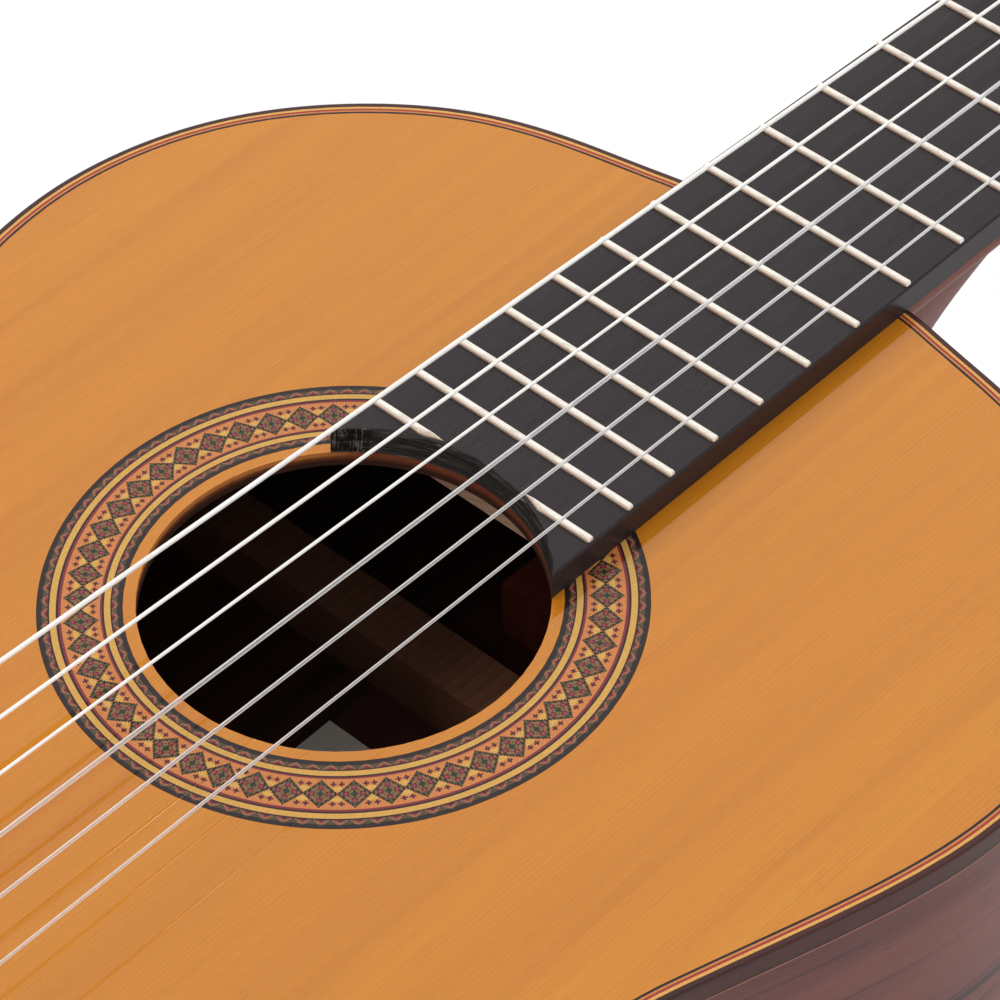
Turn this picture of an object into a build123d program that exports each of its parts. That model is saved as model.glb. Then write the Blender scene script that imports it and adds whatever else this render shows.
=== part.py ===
from build123d import *
from collections import namedtuple
import math
import os

# Classical guitar, millimetres.  +Z runs up the neck, the soundboard's outer face is the plane
# y = 0 and faces -Y, +X is the treble side.  The origin is the tail end of the soundboard's
# outer face, on the centre line.  "side" is +1 for treble and -1 for bass throughout.

os.makedirs("parts", exist_ok=True)

# ---------------------------------------------------------------- driving dimensions
SCALE = 650.0            # string length from which the frets are spaced
BODY_L = 488.0           # tail to the twelfth fret
NUT_Z = BODY_L + SCALE / 2
HOLE_Z = 337.5           # soundhole centre
HOLE_R = 44.0
TOP_T = 2.5              # soundboard
RIB_T = 2.2
BACK_T = 2.5
BIND_W = 1.5             # binding strip, inwards
BIND_D = 5.5             # binding strip, down the rib
SIDE_LINE_D = 0.5        # line in the rib under the binding
PURF_D = 1.5             # depth of the edge lines
LINES = (1.5, 2.25, 2.85, 3.3, 3.9)                   # insets of the limits of the edge lines
# radii of the limits of the rosette's rings
ROSETTE = (46.7, 47.5, 48.95, 49.28, 50.63, 51.05, 51.47, 51.8,
           59.3, 59.72, 60.28, 60.77, 62.15, 62.53, 64.07, 64.9)
ROSETTE_D = 1.0
DOME_R = 6000.0          # back arching
DOME_Y = 102.0           # greatest depth, at DOME_Z
DOME_Z = 170.0
LINING_W = 5.0
LINING_D = 11.0
GRAFT_HALF = 6.0         # half width of the end graft between the sides
JOINT_HALF = 10.0        # half width of the gap between the sides at the neck
STRIP_HALF = 1.5         # half width of the strip between the back's halves
TAIL_BLOCK_HALF = 34.0
TAIL_BLOCK_Z = 22.0
NECK_FOOT_Z = 418.0      # tail end of the neck block's foot
BACK_BARS = (100.0, 240.0, 393.0)
BACK_BAR_HALF = 7.5
HEAD_ANGLE = 15.0
HEAD_T = 18.0
VENEER_T = 2.0
HEAD_HALF = 36.0

FB_T = 7.0               # fingerboard
FB_HALF_NUT = 26.0
FB_HALF_12 = 30.9
FB_END_Z = 362.0
FB_END_R = 45.0          # scooped end, round the soundhole
NECK_DEPTH_NUT = 15.0
NECK_DEPTH_GAIN = 2.2    # from nut to twelfth fret
FRET_W = 2.1
FRET_H = 1.0
FRET_INSET = 0.45        # fret end, in from the fingerboard's edge
TANG_W = 0.5
TANG_D = 1.6
NUT_D = 5.0
HEAD_Z = NUT_Z + NUT_D   # back edge of the nut, where the head begins

SLOT_X = 14.5            # slot centre, slot half width, slot ends along the head
SLOT_HALF = 8.0
SLOT_START, SLOT_END = 16.0, 121.0
ROLLER_ALONG = (36.0, 71.0, 106.0)
SCREW_ALONG = (24.5, 53.5, 88.5, 126.0)
ROLLER_OUT = -8.5        # roller axis behind the head's face
BARREL_R = 5.0
BARREL_HALF = SLOT_HALF - 0.3
AXLE_R = 3.0
SEAT_R = 2.0             # roller end that carries the wheel
RUN = 0.05               # running clearance on radius
PLATE_T = 1.5
PLATE_X = HEAD_HALF + PLATE_T
PLATE_SCREW_R = 1.2
WHEEL_SCREW_R = 0.9
SCREW_HEAD_H = 1.1
TEETH = 14
WHEEL_R = 6.6            # pitch radii of wheel and worm
WORM_R = 3.0
WORM_SHAFT_R = 1.9
WORM_TIP_R = 3.85
WHEEL_T = 3.6
WHEEL_X = PLATE_X + 4.4  # middle plane of the wheels and axis of the worms
WHEEL_END_X = WHEEL_X + WHEEL_T / 2
HUB_X = PLATE_X + 0.1    # inner end of the wheel's hub
LUG_IN, LUG_OUT = 7.0, 9.0
LUG_R = 3.5

SADDLE_Z = 162.25
SADDLE_T = 2.5
SADDLE_HALF = 40.0
SADDLE_TREBLE_H, SADDLE_BASS_H = 14.2, 15.2           # saddle top above the soundboard
SADDLE_FOOT_Y = -4.2
NUT_H = 9.4              # underside of the strings at the nut
NUT_HALF = 25.7
STRING_GAP = 0.03        # clearance round a string, on radius
BRIDGE_HALF = 41.0       # raised middle of the bridge
WING_L = 54.0
BRIDGE_TAIL_Z, BRIDGE_NECK_Z = 139.5, 168.5
TIE_END_Z = 151.5        # neck end of the tie block
TIE_H = 9.5
TIE_Y = -6.0             # tie holes
TIE_STRIP_W = 1.6
TIE_STRIP_Y = -7.7       # bottom of the strips on the tie block

BELOW_Y = 108.0          # deeper than any point of the back
BODY_SPAN = (-5.0, 500.0)                             # past both ends of the body

# places across the nut and saddle, then the roller: side, place along the head, and the
# distance from the centre line at which the string meets it
GuitarString = namedtuple("GuitarString", "diameter nut_x saddle_x side along roller_x")
STRINGS = {
    1: GuitarString(0.71, 20.0, 30.4, 1, ROLLER_ALONG[0], 18.8),
    2: GuitarString(0.82, 11.9, 17.9, 1, ROLLER_ALONG[1], 15.4),
    3: GuitarString(1.02, 3.75, 6.05, 1, ROLLER_ALONG[2], 12.2),
    4: GuitarString(0.74, -4.3, -6.4, -1, ROLLER_ALONG[2], 12.2),
    5: GuitarString(0.89, -12.4, -18.0, -1, ROLLER_ALONG[1], 15.4),
    6: GuitarString(1.10, -20.35, -30.0, -1, ROLLER_ALONG[0], 18.8),
}

FRET_Z = [NUT_Z - SCALE * (1 - 2 ** (-n / 12)) for n in range(1, 20)]
HEAD_SIN = math.sin(math.radians(HEAD_ANGLE))
HEAD_COS = math.cos(math.radians(HEAD_ANGLE))
UP_HEAD = Vector(0, HEAD_SIN, HEAD_COS)
OUT_OF_HEAD = Vector(0, -HEAD_COS, HEAD_SIN)


# ---------------------------------------------------------------- helpers
def save(part, label):
    part.label = label
    export_step(part, "parts/" + label + ".step")


def front(y):
    """Plane parallel to the soundboard at depth y, normal towards -Y, local axes X and Z."""
    return Plane.XZ.offset(-y)


def profile_plane(x, y=0, z=0):
    """Plane with normal +X, local x up the neck and local y away from the soundboard."""
    return Plane(origin=(x, y, z), x_dir=(0, 0, 1), z_dir=(1, 0, 0))


def block(x0, x1, y0, y1, z0, z1):
    with BuildPart() as body:
        with Locations(((x0 + x1) / 2, (y0 + y1) / 2, (z0 + z1) / 2)):
            Box(x1 - x0, y1 - y0, z1 - z0)
    return body.part


def disc(radius, y0, y1, hole=0):
    """Disc or washer about the soundhole's axis."""
    with BuildPart() as body:
        with BuildSketch(front(y1)):
            with Locations((0, HOLE_Z)):
                Circle(radius)
                if hole:
                    Circle(hole, mode=Mode.SUBTRACT)
        extrude(amount=y1 - y0)
    return body.part


def mirrored(points):
    """The points on the other side of the centre line, in reverse order."""
    return [(-x, y) for x, y in points[::-1]]


def over_centre(points):
    """Points that end on the centre line, carried on down the other side."""
    return points + mirrored(points[:-1])


def fb_half(z):
    """Half width of the fingerboard."""
    return FB_HALF_NUT + (NUT_Z - z) / (SCALE / 2) * (FB_HALF_12 - FB_HALF_NUT)


def head_point(x, along, out):
    """Point x across the head, along it from the nut's back edge, out from its wooden face."""
    return Vector(x, along * HEAD_SIN - out * HEAD_COS,
                  HEAD_Z + along * HEAD_COS + out * HEAD_SIN)


def across(x, along, out, facing=1):
    """Plane with normal X times facing, local x up the head; local y out of it if facing is 1."""
    return Plane(origin=head_point(x, along, out), x_dir=UP_HEAD, z_dir=(facing, 0, 0))


def over_head(x, along, out, side=1):
    """Plane parallel to the head's face, normal out of it, local x towards the given side."""
    return Plane(origin=head_point(x, along, out), x_dir=(side, 0, 0), z_dir=OUT_OF_HEAD)


def rod_plane(side, near, far, along):
    """Plane across the roller axis at the lower x of a span near to far from the centre line."""
    return across(near if side > 0 else -far, along, ROLLER_OUT)


def rod(side, near, far, along, radius, bore=0):
    """Rod or tube across the head, near to far from the centre line."""
    with BuildPart() as body:
        with BuildSketch(rod_plane(side, near, far, along)):
            Circle(radius)
            if bore:
                Circle(bore, mode=Mode.SUBTRACT)
        extrude(amount=far - near)
    return body.part


# ---------------------------------------------------------------- body outline
# treble half of the outline, tail to neck: x, z
HALF = [(0, 0), (60, 3.5), (120, 24), (165, 65), (184, 118), (176, 170), (150, 217), (126, 252),
        (119, 280), (125, 311.6), (134.5, 342.8), (142, 384), (128.9, 434.3), (103.7, 462.7),
        (70.9, 479.5), (36.9, 487), (0, BODY_L)]
OUTLINE_STEPS = 48
with BuildLine() as half_outline:
    Spline(*HALF, tangents=[(1, 0), (-1, 0)])
half_edge = half_outline.edges()[0]
half_samples = []        # x, z and the inward normal
for i in range(OUTLINE_STEPS + 1):
    point = half_edge.position_at(i / OUTLINE_STEPS)
    tangent = half_edge.tangent_at(i / OUTLINE_STEPS)
    half_samples.append((point.X, point.Y, -tangent.Y, tangent.X))


def outline_points(inset):
    """Points of the outline moved inwards, anticlockwise from the tail."""
    right = [(x + normal_x * inset, y + normal_y * inset)
             for x, y, normal_x, normal_y in half_samples]
    right[0] = (0.0, inset)
    right[-1] = (0.0, BODY_L - inset)
    return over_centre(right)[:-1]


def ring(outer_inset, inner_inset, y0, y1):
    """Band between two insets of the outline; solid if there is no inner inset."""
    with BuildPart() as body:
        with BuildSketch(front(y1)):
            with BuildLine():
                Spline(*outline_points(outer_inset), periodic=True)
            make_face()
            if inner_inset is not None:
                with BuildLine():
                    Spline(*outline_points(inner_inset), periodic=True)
                make_face(mode=Mode.SUBTRACT)
        extrude(amount=y1 - y0)
    return body.part


def prism(inset, y0, y1):
    return ring(inset, None, y0, y1)


def dome(depth):
    """Ball whose surface is the arched back's outer face, moved inwards by depth."""
    with BuildPart() as ball:
        with Locations((0, DOME_Y - DOME_R, DOME_Z)):
            Sphere(DOME_R - depth)
    return ball.part


outer_dome = dome(0)
inner_dome = dome(BACK_T)
bind_dome = dome(BIND_D)

# ---------------------------------------------------------------- neck and head as one raw shape
SHAFT_STATIONS = (478.0, 590.0, 700.0, HEAD_Z + 8)
# treble half of the shaft's section: fractions of half width and depth
SHAFT_PROFILE = [(1, 0), (0.975, 0.22), (0.86, 0.52), (0.62, 0.80), (0.32, 0.955), (0, 1)]
with BuildPart() as shaft:
    for z in SHAFT_STATIONS:
        half = fb_half(min(z, HEAD_Z))
        depth = NECK_DEPTH_NUT + (NUT_Z - z) / (SCALE / 2) * NECK_DEPTH_GAIN
        with BuildSketch(Plane.XY.offset(z)):
            with BuildLine():
                Line((-half, 0), (half, 0))
                Spline(*over_centre([(half * x, depth * y) for x, y in SHAFT_PROFILE]),
                       tangents=[(0, 1), (0, -1)])
            make_face()
    loft(ruled=False)

# heel sections at growing depth: y, half width, how far up the neck it reaches
HEEL = [(6.0, 26.0, 590.0), (17.0, 24.5, 566.0), (26.0, 22.5, 547.0), (38.0, 20.0, 531.0),
        (54.0, 17.0, 519.5), (72.0, 14.2, 512.0), (91.0, 12.2, 508.0)]
HEEL_FOOT_Z, HEEL_CURVE_Z, HEEL_BASE_Z = 478.0, 484.0, 486.0


def heel_outline(half, top):
    """Straight foot and curved tip of a heel section."""
    height = top - HEEL_BASE_Z
    foot = [(-half, HEEL_CURVE_Z), (-half, HEEL_FOOT_Z), (half, HEEL_FOOT_Z),
            (half, HEEL_CURVE_Z)]
    tip = over_centre([(half, HEEL_CURVE_Z), (half * 0.93, HEEL_BASE_Z + height * 0.38),
                       (half * 0.62, HEEL_BASE_Z + height * 0.80), (0, top)])
    return foot, tip


with BuildPart() as heel:
    for y, half, top in HEEL:
        foot, tip = heel_outline(half, top)
        with BuildSketch(front(y)):
            with BuildLine():
                Polyline(*foot)
                Spline(*tip, tangents=[(0, 1), (0, -1)])
            make_face()
    loft(ruled=False)

# treble half of the head's outline: x, distance along the head
HEAD_FLARE = [(FB_HALF_NUT, -2), (26.6, 3.0), (29.5, 8.0), (33.6, 12.0), (HEAD_HALF, 17.0)]
HEAD_EAR = [(HEAD_HALF, 138.0), (38.5, 149.0), (37.5, 160.0), (31.0, 167.0)]
HEAD_TIP = [(31.0, 167.0), (17.0, 181.0), (0.0, 190.0)]


def head_slab(out, thickness):
    """Slab with the headstock's outline, starting at out and growing along the head's normal."""
    with BuildPart() as slab:
        with BuildSketch(over_head(0, 0, 0).offset(out)):
            with BuildLine():
                Line((-FB_HALF_NUT, -2), HEAD_FLARE[0])
                Spline(*HEAD_FLARE, tangents=[(0, 1), (0, 1)])
                Line(HEAD_FLARE[-1], HEAD_EAR[0])
                Spline(*HEAD_EAR, tangents=[(0, 1), (-1, 0.1)])
                Spline(*over_centre(HEAD_TIP), tangents=[(-0.3, 1), (-0.3, -1)])
                Spline(*mirrored(HEAD_EAR), tangents=[(-1, -0.1), (0, -1)])
                Line((-HEAD_HALF, 138.0), (-HEAD_HALF, 17.0))
                Spline(*mirrored(HEAD_FLARE), tangents=[(0, -1), (0, -1)])
            make_face()
        extrude(amount=thickness)
    return slab.part


# sloping run-in for the strings at the nut end of a slot: along the head, out of its face
RUN_IN = [(4.0, 2.5), (36.0, 2.5), (36.0, -7.0), (26.0, -7.0), (4.0, 2.5)]
RUN_IN_HALF = SLOT_HALF - 0.8


def head_slot(side):
    with BuildPart() as slot:
        with BuildSketch(over_head(0, 0, 0).offset(-HEAD_T - 6)):
            with Locations((side * SLOT_X, (SLOT_START + SLOT_END) / 2)):
                SlotOverall(SLOT_END - SLOT_START, 2 * SLOT_HALF, rotation=90)
        extrude(amount=HEAD_T + 16)
        with BuildSketch(across(side * SLOT_X - RUN_IN_HALF, 0, 0)):
            with BuildLine():
                Polyline(*RUN_IN)
            make_face()
        extrude(amount=2 * RUN_IN_HALF)
    return slot.part


slots = [head_slot(side) for side in (-1, 1)]

with BuildPart() as neck_raw:
    add(shaft.part)
    split(bisect_by=Plane(origin=head_point(0, 0, 0), x_dir=(1, 0, 0), z_dir=UP_HEAD),
          keep=Keep.BOTTOM)
    add(head_slab(-HEAD_T, HEAD_T))
    add(heel.part)
    add(block(-30, 30, 0, 90, 442, 484))            # block inside the body
    add(block(-30, 30, 78, 97, NECK_FOOT_Z, 443))   # its foot along the back

# ---------------------------------------------------------------- ribs and back
with BuildPart() as rib_inner:
    add(ring(BIND_W, RIB_T, TOP_T, BELOW_Y))
    add(inner_dome, mode=Mode.INTERSECT)
with BuildPart() as rib_outer:
    add(ring(0, BIND_W, BIND_D + SIDE_LINE_D, BELOW_Y))
    add(bind_dome, mode=Mode.INTERSECT)
with BuildPart() as ribs:
    add(rib_inner.part)
    add(rib_outer.part)


def rib_side(side):
    """The ribs of one side, clear of the end graft and of the neck joint."""
    graft_x = sorted((-side * 200, side * GRAFT_HALF))
    joint_x = sorted((-side * 200, side * JOINT_HALF))
    with BuildPart() as half:
        add(ribs.part)
        add(block(*graft_x, -5, 120, BODY_SPAN[0], BODY_L / 2), mode=Mode.SUBTRACT)
        add(block(*joint_x, -5, 120, BODY_L / 2, BODY_SPAN[1]), mode=Mode.SUBTRACT)
    return half.part


side_treble = rib_side(1)
save(side_treble, "side_treble")
side_bass = rib_side(-1)
save(side_bass, "side_bass")

with BuildPart() as end_graft:
    add(ribs.part)
    add(block(-GRAFT_HALF, GRAFT_HALF, -5, 120, -5, 20), mode=Mode.INTERSECT)
save(end_graft.part, "end_graft")

with BuildPart() as back_shell:
    add(prism(BIND_W, 85.0, BELOW_Y))
    add(outer_dome, mode=Mode.INTERSECT)
    add(inner_dome, mode=Mode.SUBTRACT)
center_strip_room = block(-STRIP_HALF, STRIP_HALF, 60, 120, *BODY_SPAN)
with BuildPart() as back_plate:
    add(back_shell.part)
    add(center_strip_room, mode=Mode.SUBTRACT)
save(back_plate.part, "back_plate")

# ---------------------------------------------------------------- neck, headstock, heel cap
with BuildPart() as neck_cut:
    add(prism(BIND_W, 80.0, 110.0))
    add(inner_dome, mode=Mode.SUBTRACT)
with BuildPart() as neck_body:
    add(neck_raw.part)
    add(side_treble, mode=Mode.SUBTRACT)
    add(side_bass, mode=Mode.SUBTRACT)
    add(prism(BIND_W, -1.0, TOP_T), mode=Mode.SUBTRACT)
    add(neck_cut.part, mode=Mode.SUBTRACT)
    add(block(-60, 60, -40, 0, 470, HEAD_Z), mode=Mode.SUBTRACT)

# head's side of the scarf, which runs from the nut's back edge down to the back of the neck
SCARF_SLOPE = HEAD_SIN / HEAD_COS
SCARF_DOWN, SCARF_UP, SCARF_Y = 68.0, 260.0, 80
with BuildPart() as scarf:
    with BuildSketch(Plane.YZ.offset(-60)):
        with BuildLine():
            Polyline((0, HEAD_Z), (SCARF_DOWN * SCARF_SLOPE, HEAD_Z - SCARF_DOWN),
                     (SCARF_Y, HEAD_Z - SCARF_DOWN), (SCARF_Y, HEAD_Z + SCARF_UP),
                     (-SCARF_UP * SCARF_SLOPE, HEAD_Z + SCARF_UP), (0, HEAD_Z))
        make_face()
    extrude(amount=120)

with BuildPart() as neck:
    add(neck_body.part)
    add(scarf.part, mode=Mode.SUBTRACT)
save(neck.part, "neck")

with BuildPart() as headstock:
    add(neck_body.part)
    add(scarf.part, mode=Mode.INTERSECT)
    for slot in slots:
        add(slot, mode=Mode.SUBTRACT)
    for side in (-1, 1):
        for along in ROLLER_ALONG:
            add(rod(side, 1.2, 40.0, along, AXLE_R + RUN), mode=Mode.SUBTRACT)
    for side in (-1, 1):
        for along in SCREW_ALONG:
            add(rod(side, 26.5, 40.0, along, PLATE_SCREW_R), mode=Mode.SUBTRACT)
save(headstock.part, "headstock")

with BuildPart() as head_veneer:
    add(head_slab(0, VENEER_T))
    for slot in slots:
        add(slot, mode=Mode.SUBTRACT)
    add(block(-60, 60, -40, 40, NUT_Z - 20, HEAD_Z), mode=Mode.SUBTRACT)
save(head_veneer.part, "head_veneer")

HEEL_CAP_T = 2.6
with BuildPart() as heel_cap:
    y, half, top = HEEL[-1]
    foot, tip = heel_outline(half, top)
    with BuildSketch(front(y + HEEL_CAP_T)):
        with BuildLine():
            Polyline(*foot)
            Spline(*tip, tangents=[(0, 1), (0, -1)])
        make_face()
    extrude(amount=HEEL_CAP_T)
    add(prism(BIND_W, 80.0, 110.0), mode=Mode.SUBTRACT)
save(heel_cap.part, "heel_cap")

# ---------------------------------------------------------------- bindings and edge lines
with BuildPart() as binding_raw:
    add(ring(0, BIND_W, 0.0, BIND_D))
    fillet(binding_raw.faces().sort_by(Axis.Y)[0].outer_wire().edges(), radius=0.5)
    add(neck_raw.part, mode=Mode.SUBTRACT)
# the neck cuts the ring; only the largest piece is kept
with BuildPart() as top_binding:
    add(binding_raw.solids().sort_by(SortBy.VOLUME)[-1])
save(top_binding.part, "top_binding")

with BuildPart() as back_binding:
    add(ring(0, BIND_W, 85.0, BELOW_Y))
    add(outer_dome, mode=Mode.INTERSECT)
    add(bind_dome, mode=Mode.SUBTRACT)
    add(block(-12.6, 12.6, 60, 120, 470, 500), mode=Mode.SUBTRACT)
save(back_binding.part, "back_binding")

# four edge lines let into the soundboard, and one line in the rib under the binding
edge_lines = [ring(outer, inner, 0.0, PURF_D) for outer, inner in zip(LINES, LINES[1:])]
with BuildPart() as side_line:
    add(ring(0, BIND_W, BIND_D, BIND_D + SIDE_LINE_D))
    add(neck_raw.part, mode=Mode.SUBTRACT)
top_purfling = Compound([solid for line in edge_lines + [side_line.part]
                         for solid in line.solids()])
save(top_purfling, "top_purfling")

# ---------------------------------------------------------------- soundboard, rosette and bracing
with BuildPart() as soundboard:
    add(prism(BIND_W, 0.0, TOP_T))
    add(disc(HOLE_R, -1.0, 5.0), mode=Mode.SUBTRACT)
    add(disc(ROSETTE[-1], -1.0, ROSETTE_D, hole=ROSETTE[0]), mode=Mode.SUBTRACT)
    add(ring(LINES[0], LINES[-1], -1.0, PURF_D), mode=Mode.SUBTRACT)
save(soundboard.part, "soundboard")

rosette = Compound([solid for inner, outer in zip(ROSETTE, ROSETTE[1:])
                    for solid in disc(outer, 0.0, ROSETTE_D, hole=inner).solids()])
save(rosette, "rosette")

with BuildPart() as soundhole_doubler:
    add(block(-68, 68, TOP_T, TOP_T + 1.5, 286.5, 386.5))
    add(disc(HOLE_R, -1.0, 8.0), mode=Mode.SUBTRACT)
save(soundhole_doubler.part, "soundhole_doubler")

# strut centre lines: start x, z and end x, z
FAN = [(0, 40, 0, 276), (24, 44, 16, 276), (-24, 44, -16, 276), (52, 52, 34, 274),
       (-52, 52, -34, 274), (84, 66, 54, 270), (-84, 66, -54, 270), (10, 34, 84, 56),
       (-10, 34, -84, 56)]
FAN_W, FAN_H = 4.5, 4.0
with BuildPart() as fan_struts:
    for x0, z0, x1, z1 in FAN:
        length = math.hypot(x1 - x0, z1 - z0)
        angle = math.degrees(math.atan2(z1 - z0, x1 - x0))
        with BuildSketch(front(TOP_T + FAN_H)):
            with Locations(Location(((x0 + x1) / 2, (z0 + z1) / 2), angle)):
                Rectangle(length, FAN_W)
        extrude(amount=FAN_H)
save(fan_struts.part, "fan_struts")

# half length, height, z of both faces
HARMONIC_BARS = [(150, 14.0, 280.0, 286.0), (150, 12.5, 387.0, 393.0), (110, 7.0, 424.0, 430.0)]
inner_space = prism(RIB_T + LINING_W + 0.4, 0.0, BELOW_Y)
with BuildPart() as harmonic_bars:
    for half, height, z0, z1 in HARMONIC_BARS:
        add(block(-half, half, TOP_T, TOP_T + height, z0, z1))
    add(inner_space, mode=Mode.INTERSECT)
save(harmonic_bars.part, "harmonic_bars")

with BuildPart() as tail_block:
    add(block(-TAIL_BLOCK_HALF, TAIL_BLOCK_HALF, TOP_T, BELOW_Y, 0, TAIL_BLOCK_Z))
    add(prism(RIB_T, 0.0, BELOW_Y), mode=Mode.INTERSECT)
    add(inner_dome, mode=Mode.INTERSECT)
save(tail_block.part, "tail_block")

with BuildPart() as back_lining:
    add(ring(RIB_T, RIB_T + LINING_W, 78.0, BELOW_Y))
    add(inner_dome, mode=Mode.INTERSECT)
    add(dome(BACK_T + LINING_D), mode=Mode.SUBTRACT)
with BuildPart() as linings:
    add(ring(RIB_T, RIB_T + LINING_W, TOP_T, TOP_T + LINING_D))
    add(back_lining.part)
    add(block(-TAIL_BLOCK_HALF, TAIL_BLOCK_HALF, 0, 110, -5, 40), mode=Mode.SUBTRACT)
    add(block(-31.5, 31.5, 0, 110, 410, 500), mode=Mode.SUBTRACT)
save(linings.part, "linings")

with BuildPart() as back_bars:
    for z in BACK_BARS:
        back_y = DOME_Y - BACK_T - (z - DOME_Z) ** 2 / (2 * DOME_R)
        add(block(-180, 180, back_y - 15.0, BELOW_Y, z - BACK_BAR_HALF, z + BACK_BAR_HALF))
    add(inner_dome, mode=Mode.INTERSECT)
    add(inner_space, mode=Mode.INTERSECT)
save(back_bars.part, "back_bars")

# inner strip along the back joint, between blocks and bars and leaving the label's bay free
STRIP_SPANS = ((TAIL_BLOCK_Z, BACK_BARS[0] - BACK_BAR_HALF),
               (BACK_BARS[0] + BACK_BAR_HALF, BACK_BARS[1] - BACK_BAR_HALF),
               (BACK_BARS[2] + BACK_BAR_HALF, NECK_FOOT_Z))
with BuildPart() as inner_strip:
    for z0, z1 in STRIP_SPANS:
        add(block(-9, 9, 85, BELOW_Y, z0, z1))
    add(inner_dome, mode=Mode.INTERSECT)
    add(dome(BACK_T + 2.0), mode=Mode.SUBTRACT)
with BuildPart() as back_center_strip:
    add(back_shell.part)
    add(center_strip_room, mode=Mode.INTERSECT)
    add(inner_strip.part)
save(back_center_strip.part, "back_center_strip")

with BuildPart() as label_paper:
    add(block(-41, 41, 85, BELOW_Y, 258.0, 370.5))
    add(inner_dome, mode=Mode.INTERSECT)
    add(dome(BACK_T + 0.25), mode=Mode.SUBTRACT)
save(label_paper.part, "label")


# ---------------------------------------------------------------- fingerboard and frets
def fret_half(z):
    return fb_half(z) - FRET_INSET


with BuildPart() as fingerboard:
    with BuildSketch(front(0.0)):
        with BuildLine():
            Polyline((-FB_HALF_NUT, NUT_Z), (FB_HALF_NUT, NUT_Z), (fb_half(FB_END_Z), FB_END_Z),
                     (-fb_half(FB_END_Z), FB_END_Z), (-FB_HALF_NUT, NUT_Z))
        make_face()
    extrude(amount=FB_T)
    playing_face = fingerboard.faces().sort_by(Axis.Y)[0]
    chamfer([edge for edge in playing_face.edges() if edge.length > 300], length=0.5)
    add(disc(FB_END_R, -20.0, 5.0), mode=Mode.SUBTRACT)
    for z in FRET_Z:
        with Locations((0, -FB_T + TANG_D / 2, z)):
            Box(2 * fret_half(z), TANG_D, TANG_W, mode=Mode.SUBTRACT)
save(fingerboard.part, "fingerboard")

# half of the fret's crown: along the neck, away from the fingerboard
FRET_CROWN = [(FRET_W / 2, 0), (FRET_W * 0.44, FRET_H * 0.45), (FRET_W * 0.27, FRET_H * 0.88),
              (0, FRET_H)]
with BuildPart() as frets:
    for z in FRET_Z:
        half = fret_half(z)
        with BuildSketch(profile_plane(-half, -FB_T, z)):
            with BuildLine():
                Line((-FRET_W / 2, 0), (FRET_W / 2, 0))
                Spline(*over_centre(FRET_CROWN))
            make_face()
            with Locations((0, -TANG_D / 2)):
                Rectangle(TANG_W, TANG_D)
        extrude(amount=2 * half)
    add(disc(FB_END_R, -20.0, 5.0), mode=Mode.SUBTRACT)
save(frets.part, "frets")


# ---------------------------------------------------------------- strings
def string_points(number):
    """Bends of a string, from its roller over nut and saddle to the knot on the tie block."""
    string = STRINGS[number]
    radius = string.diameter / 2
    bass_share = (number - 1) / 5.0
    saddle_h = SADDLE_TREBLE_H + (SADDLE_BASS_H - SADDLE_TREBLE_H) * bass_share
    nut_point = Vector(string.nut_x, -(NUT_H + radius), NUT_Z + 0.4)
    # touch point on the roller, seen in the head's own axes
    nut_along = nut_point.Y * HEAD_SIN + (nut_point.Z - HEAD_Z) * HEAD_COS
    nut_out = -nut_point.Y * HEAD_COS + (nut_point.Z - HEAD_Z) * HEAD_SIN
    run, rise = string.along - nut_along, ROLLER_OUT - nut_out
    touch_r = BARREL_R + radius + 0.06
    slope = math.atan2(rise, run) + math.asin(touch_r / math.hypot(run, rise))
    end = head_point(string.side * string.roller_x, string.along - touch_r * math.sin(slope),
                     ROLLER_OUT + touch_r * math.cos(slope))
    x = string.saddle_x
    return_x = x + string.diameter + 0.1
    return_y = -(TIE_H + radius + 0.04)
    tail_z = BRIDGE_TAIL_Z - 0.8
    return [end, nut_point, Vector(x, -(saddle_h + radius), SADDLE_Z),
            Vector(x, TIE_Y, TIE_END_Z + 1.0), Vector(x, TIE_Y, tail_z),
            Vector(return_x, return_y, tail_z), Vector(return_x, return_y, TIE_END_Z + 1.1)]


def cord(points, radius):
    """Round cord through the points, with ball-shaped bends."""
    with BuildPart() as body:
        for start, end in zip(points, points[1:]):
            with BuildSketch(Plane(origin=start, z_dir=end - start)):
                Circle(radius)
            extrude(amount=(end - start).length)
        with Locations(*points[1:-1]):
            Sphere(radius)
    return body.part


string_room = []         # grooves for the strings in nut and saddle
for number, string in STRINGS.items():
    points = string_points(number)
    save(cord(points, string.diameter / 2), "string_%d" % number)
    string_room.append(cord(points[:4], string.diameter / 2 + STRING_GAP))

# ---------------------------------------------------------------- nut, saddle, bridge
NUT_PROFILE = [(0, 0), (NUT_D, 0), (NUT_D, 7.8), (2.0, 10.0), (0, 10.3), (0, 0)]
with BuildPart() as nut:
    with BuildSketch(profile_plane(-NUT_HALF, 0, NUT_Z)):
        with BuildLine():
            Polyline(*NUT_PROFILE)
        make_face()
    extrude(amount=2 * NUT_HALF)
    for room in string_room:
        add(room, mode=Mode.SUBTRACT)
save(nut.part, "nut")

with BuildPart() as saddle:
    with BuildSketch(Plane.XY.offset(SADDLE_Z - SADDLE_T / 2)):
        with BuildLine():
            Polyline((-SADDLE_HALF, -SADDLE_BASS_H - 0.15), (SADDLE_HALF, -SADDLE_TREBLE_H - 0.15),
                     (SADDLE_HALF, SADDLE_FOOT_Y), (-SADDLE_HALF, SADDLE_FOOT_Y),
                     (-SADDLE_HALF, -SADDLE_BASS_H - 0.15))
        make_face()
    extrude(amount=SADDLE_T)
    saddle_top = saddle.faces().sort_by(Axis.Y)[0]
    fillet(saddle_top.edges().filter_by(lambda edge: edge.length > 50), radius=1.1)
    for room in string_room:
        add(room, mode=Mode.SUBTRACT)
save(saddle.part, "saddle")

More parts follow.
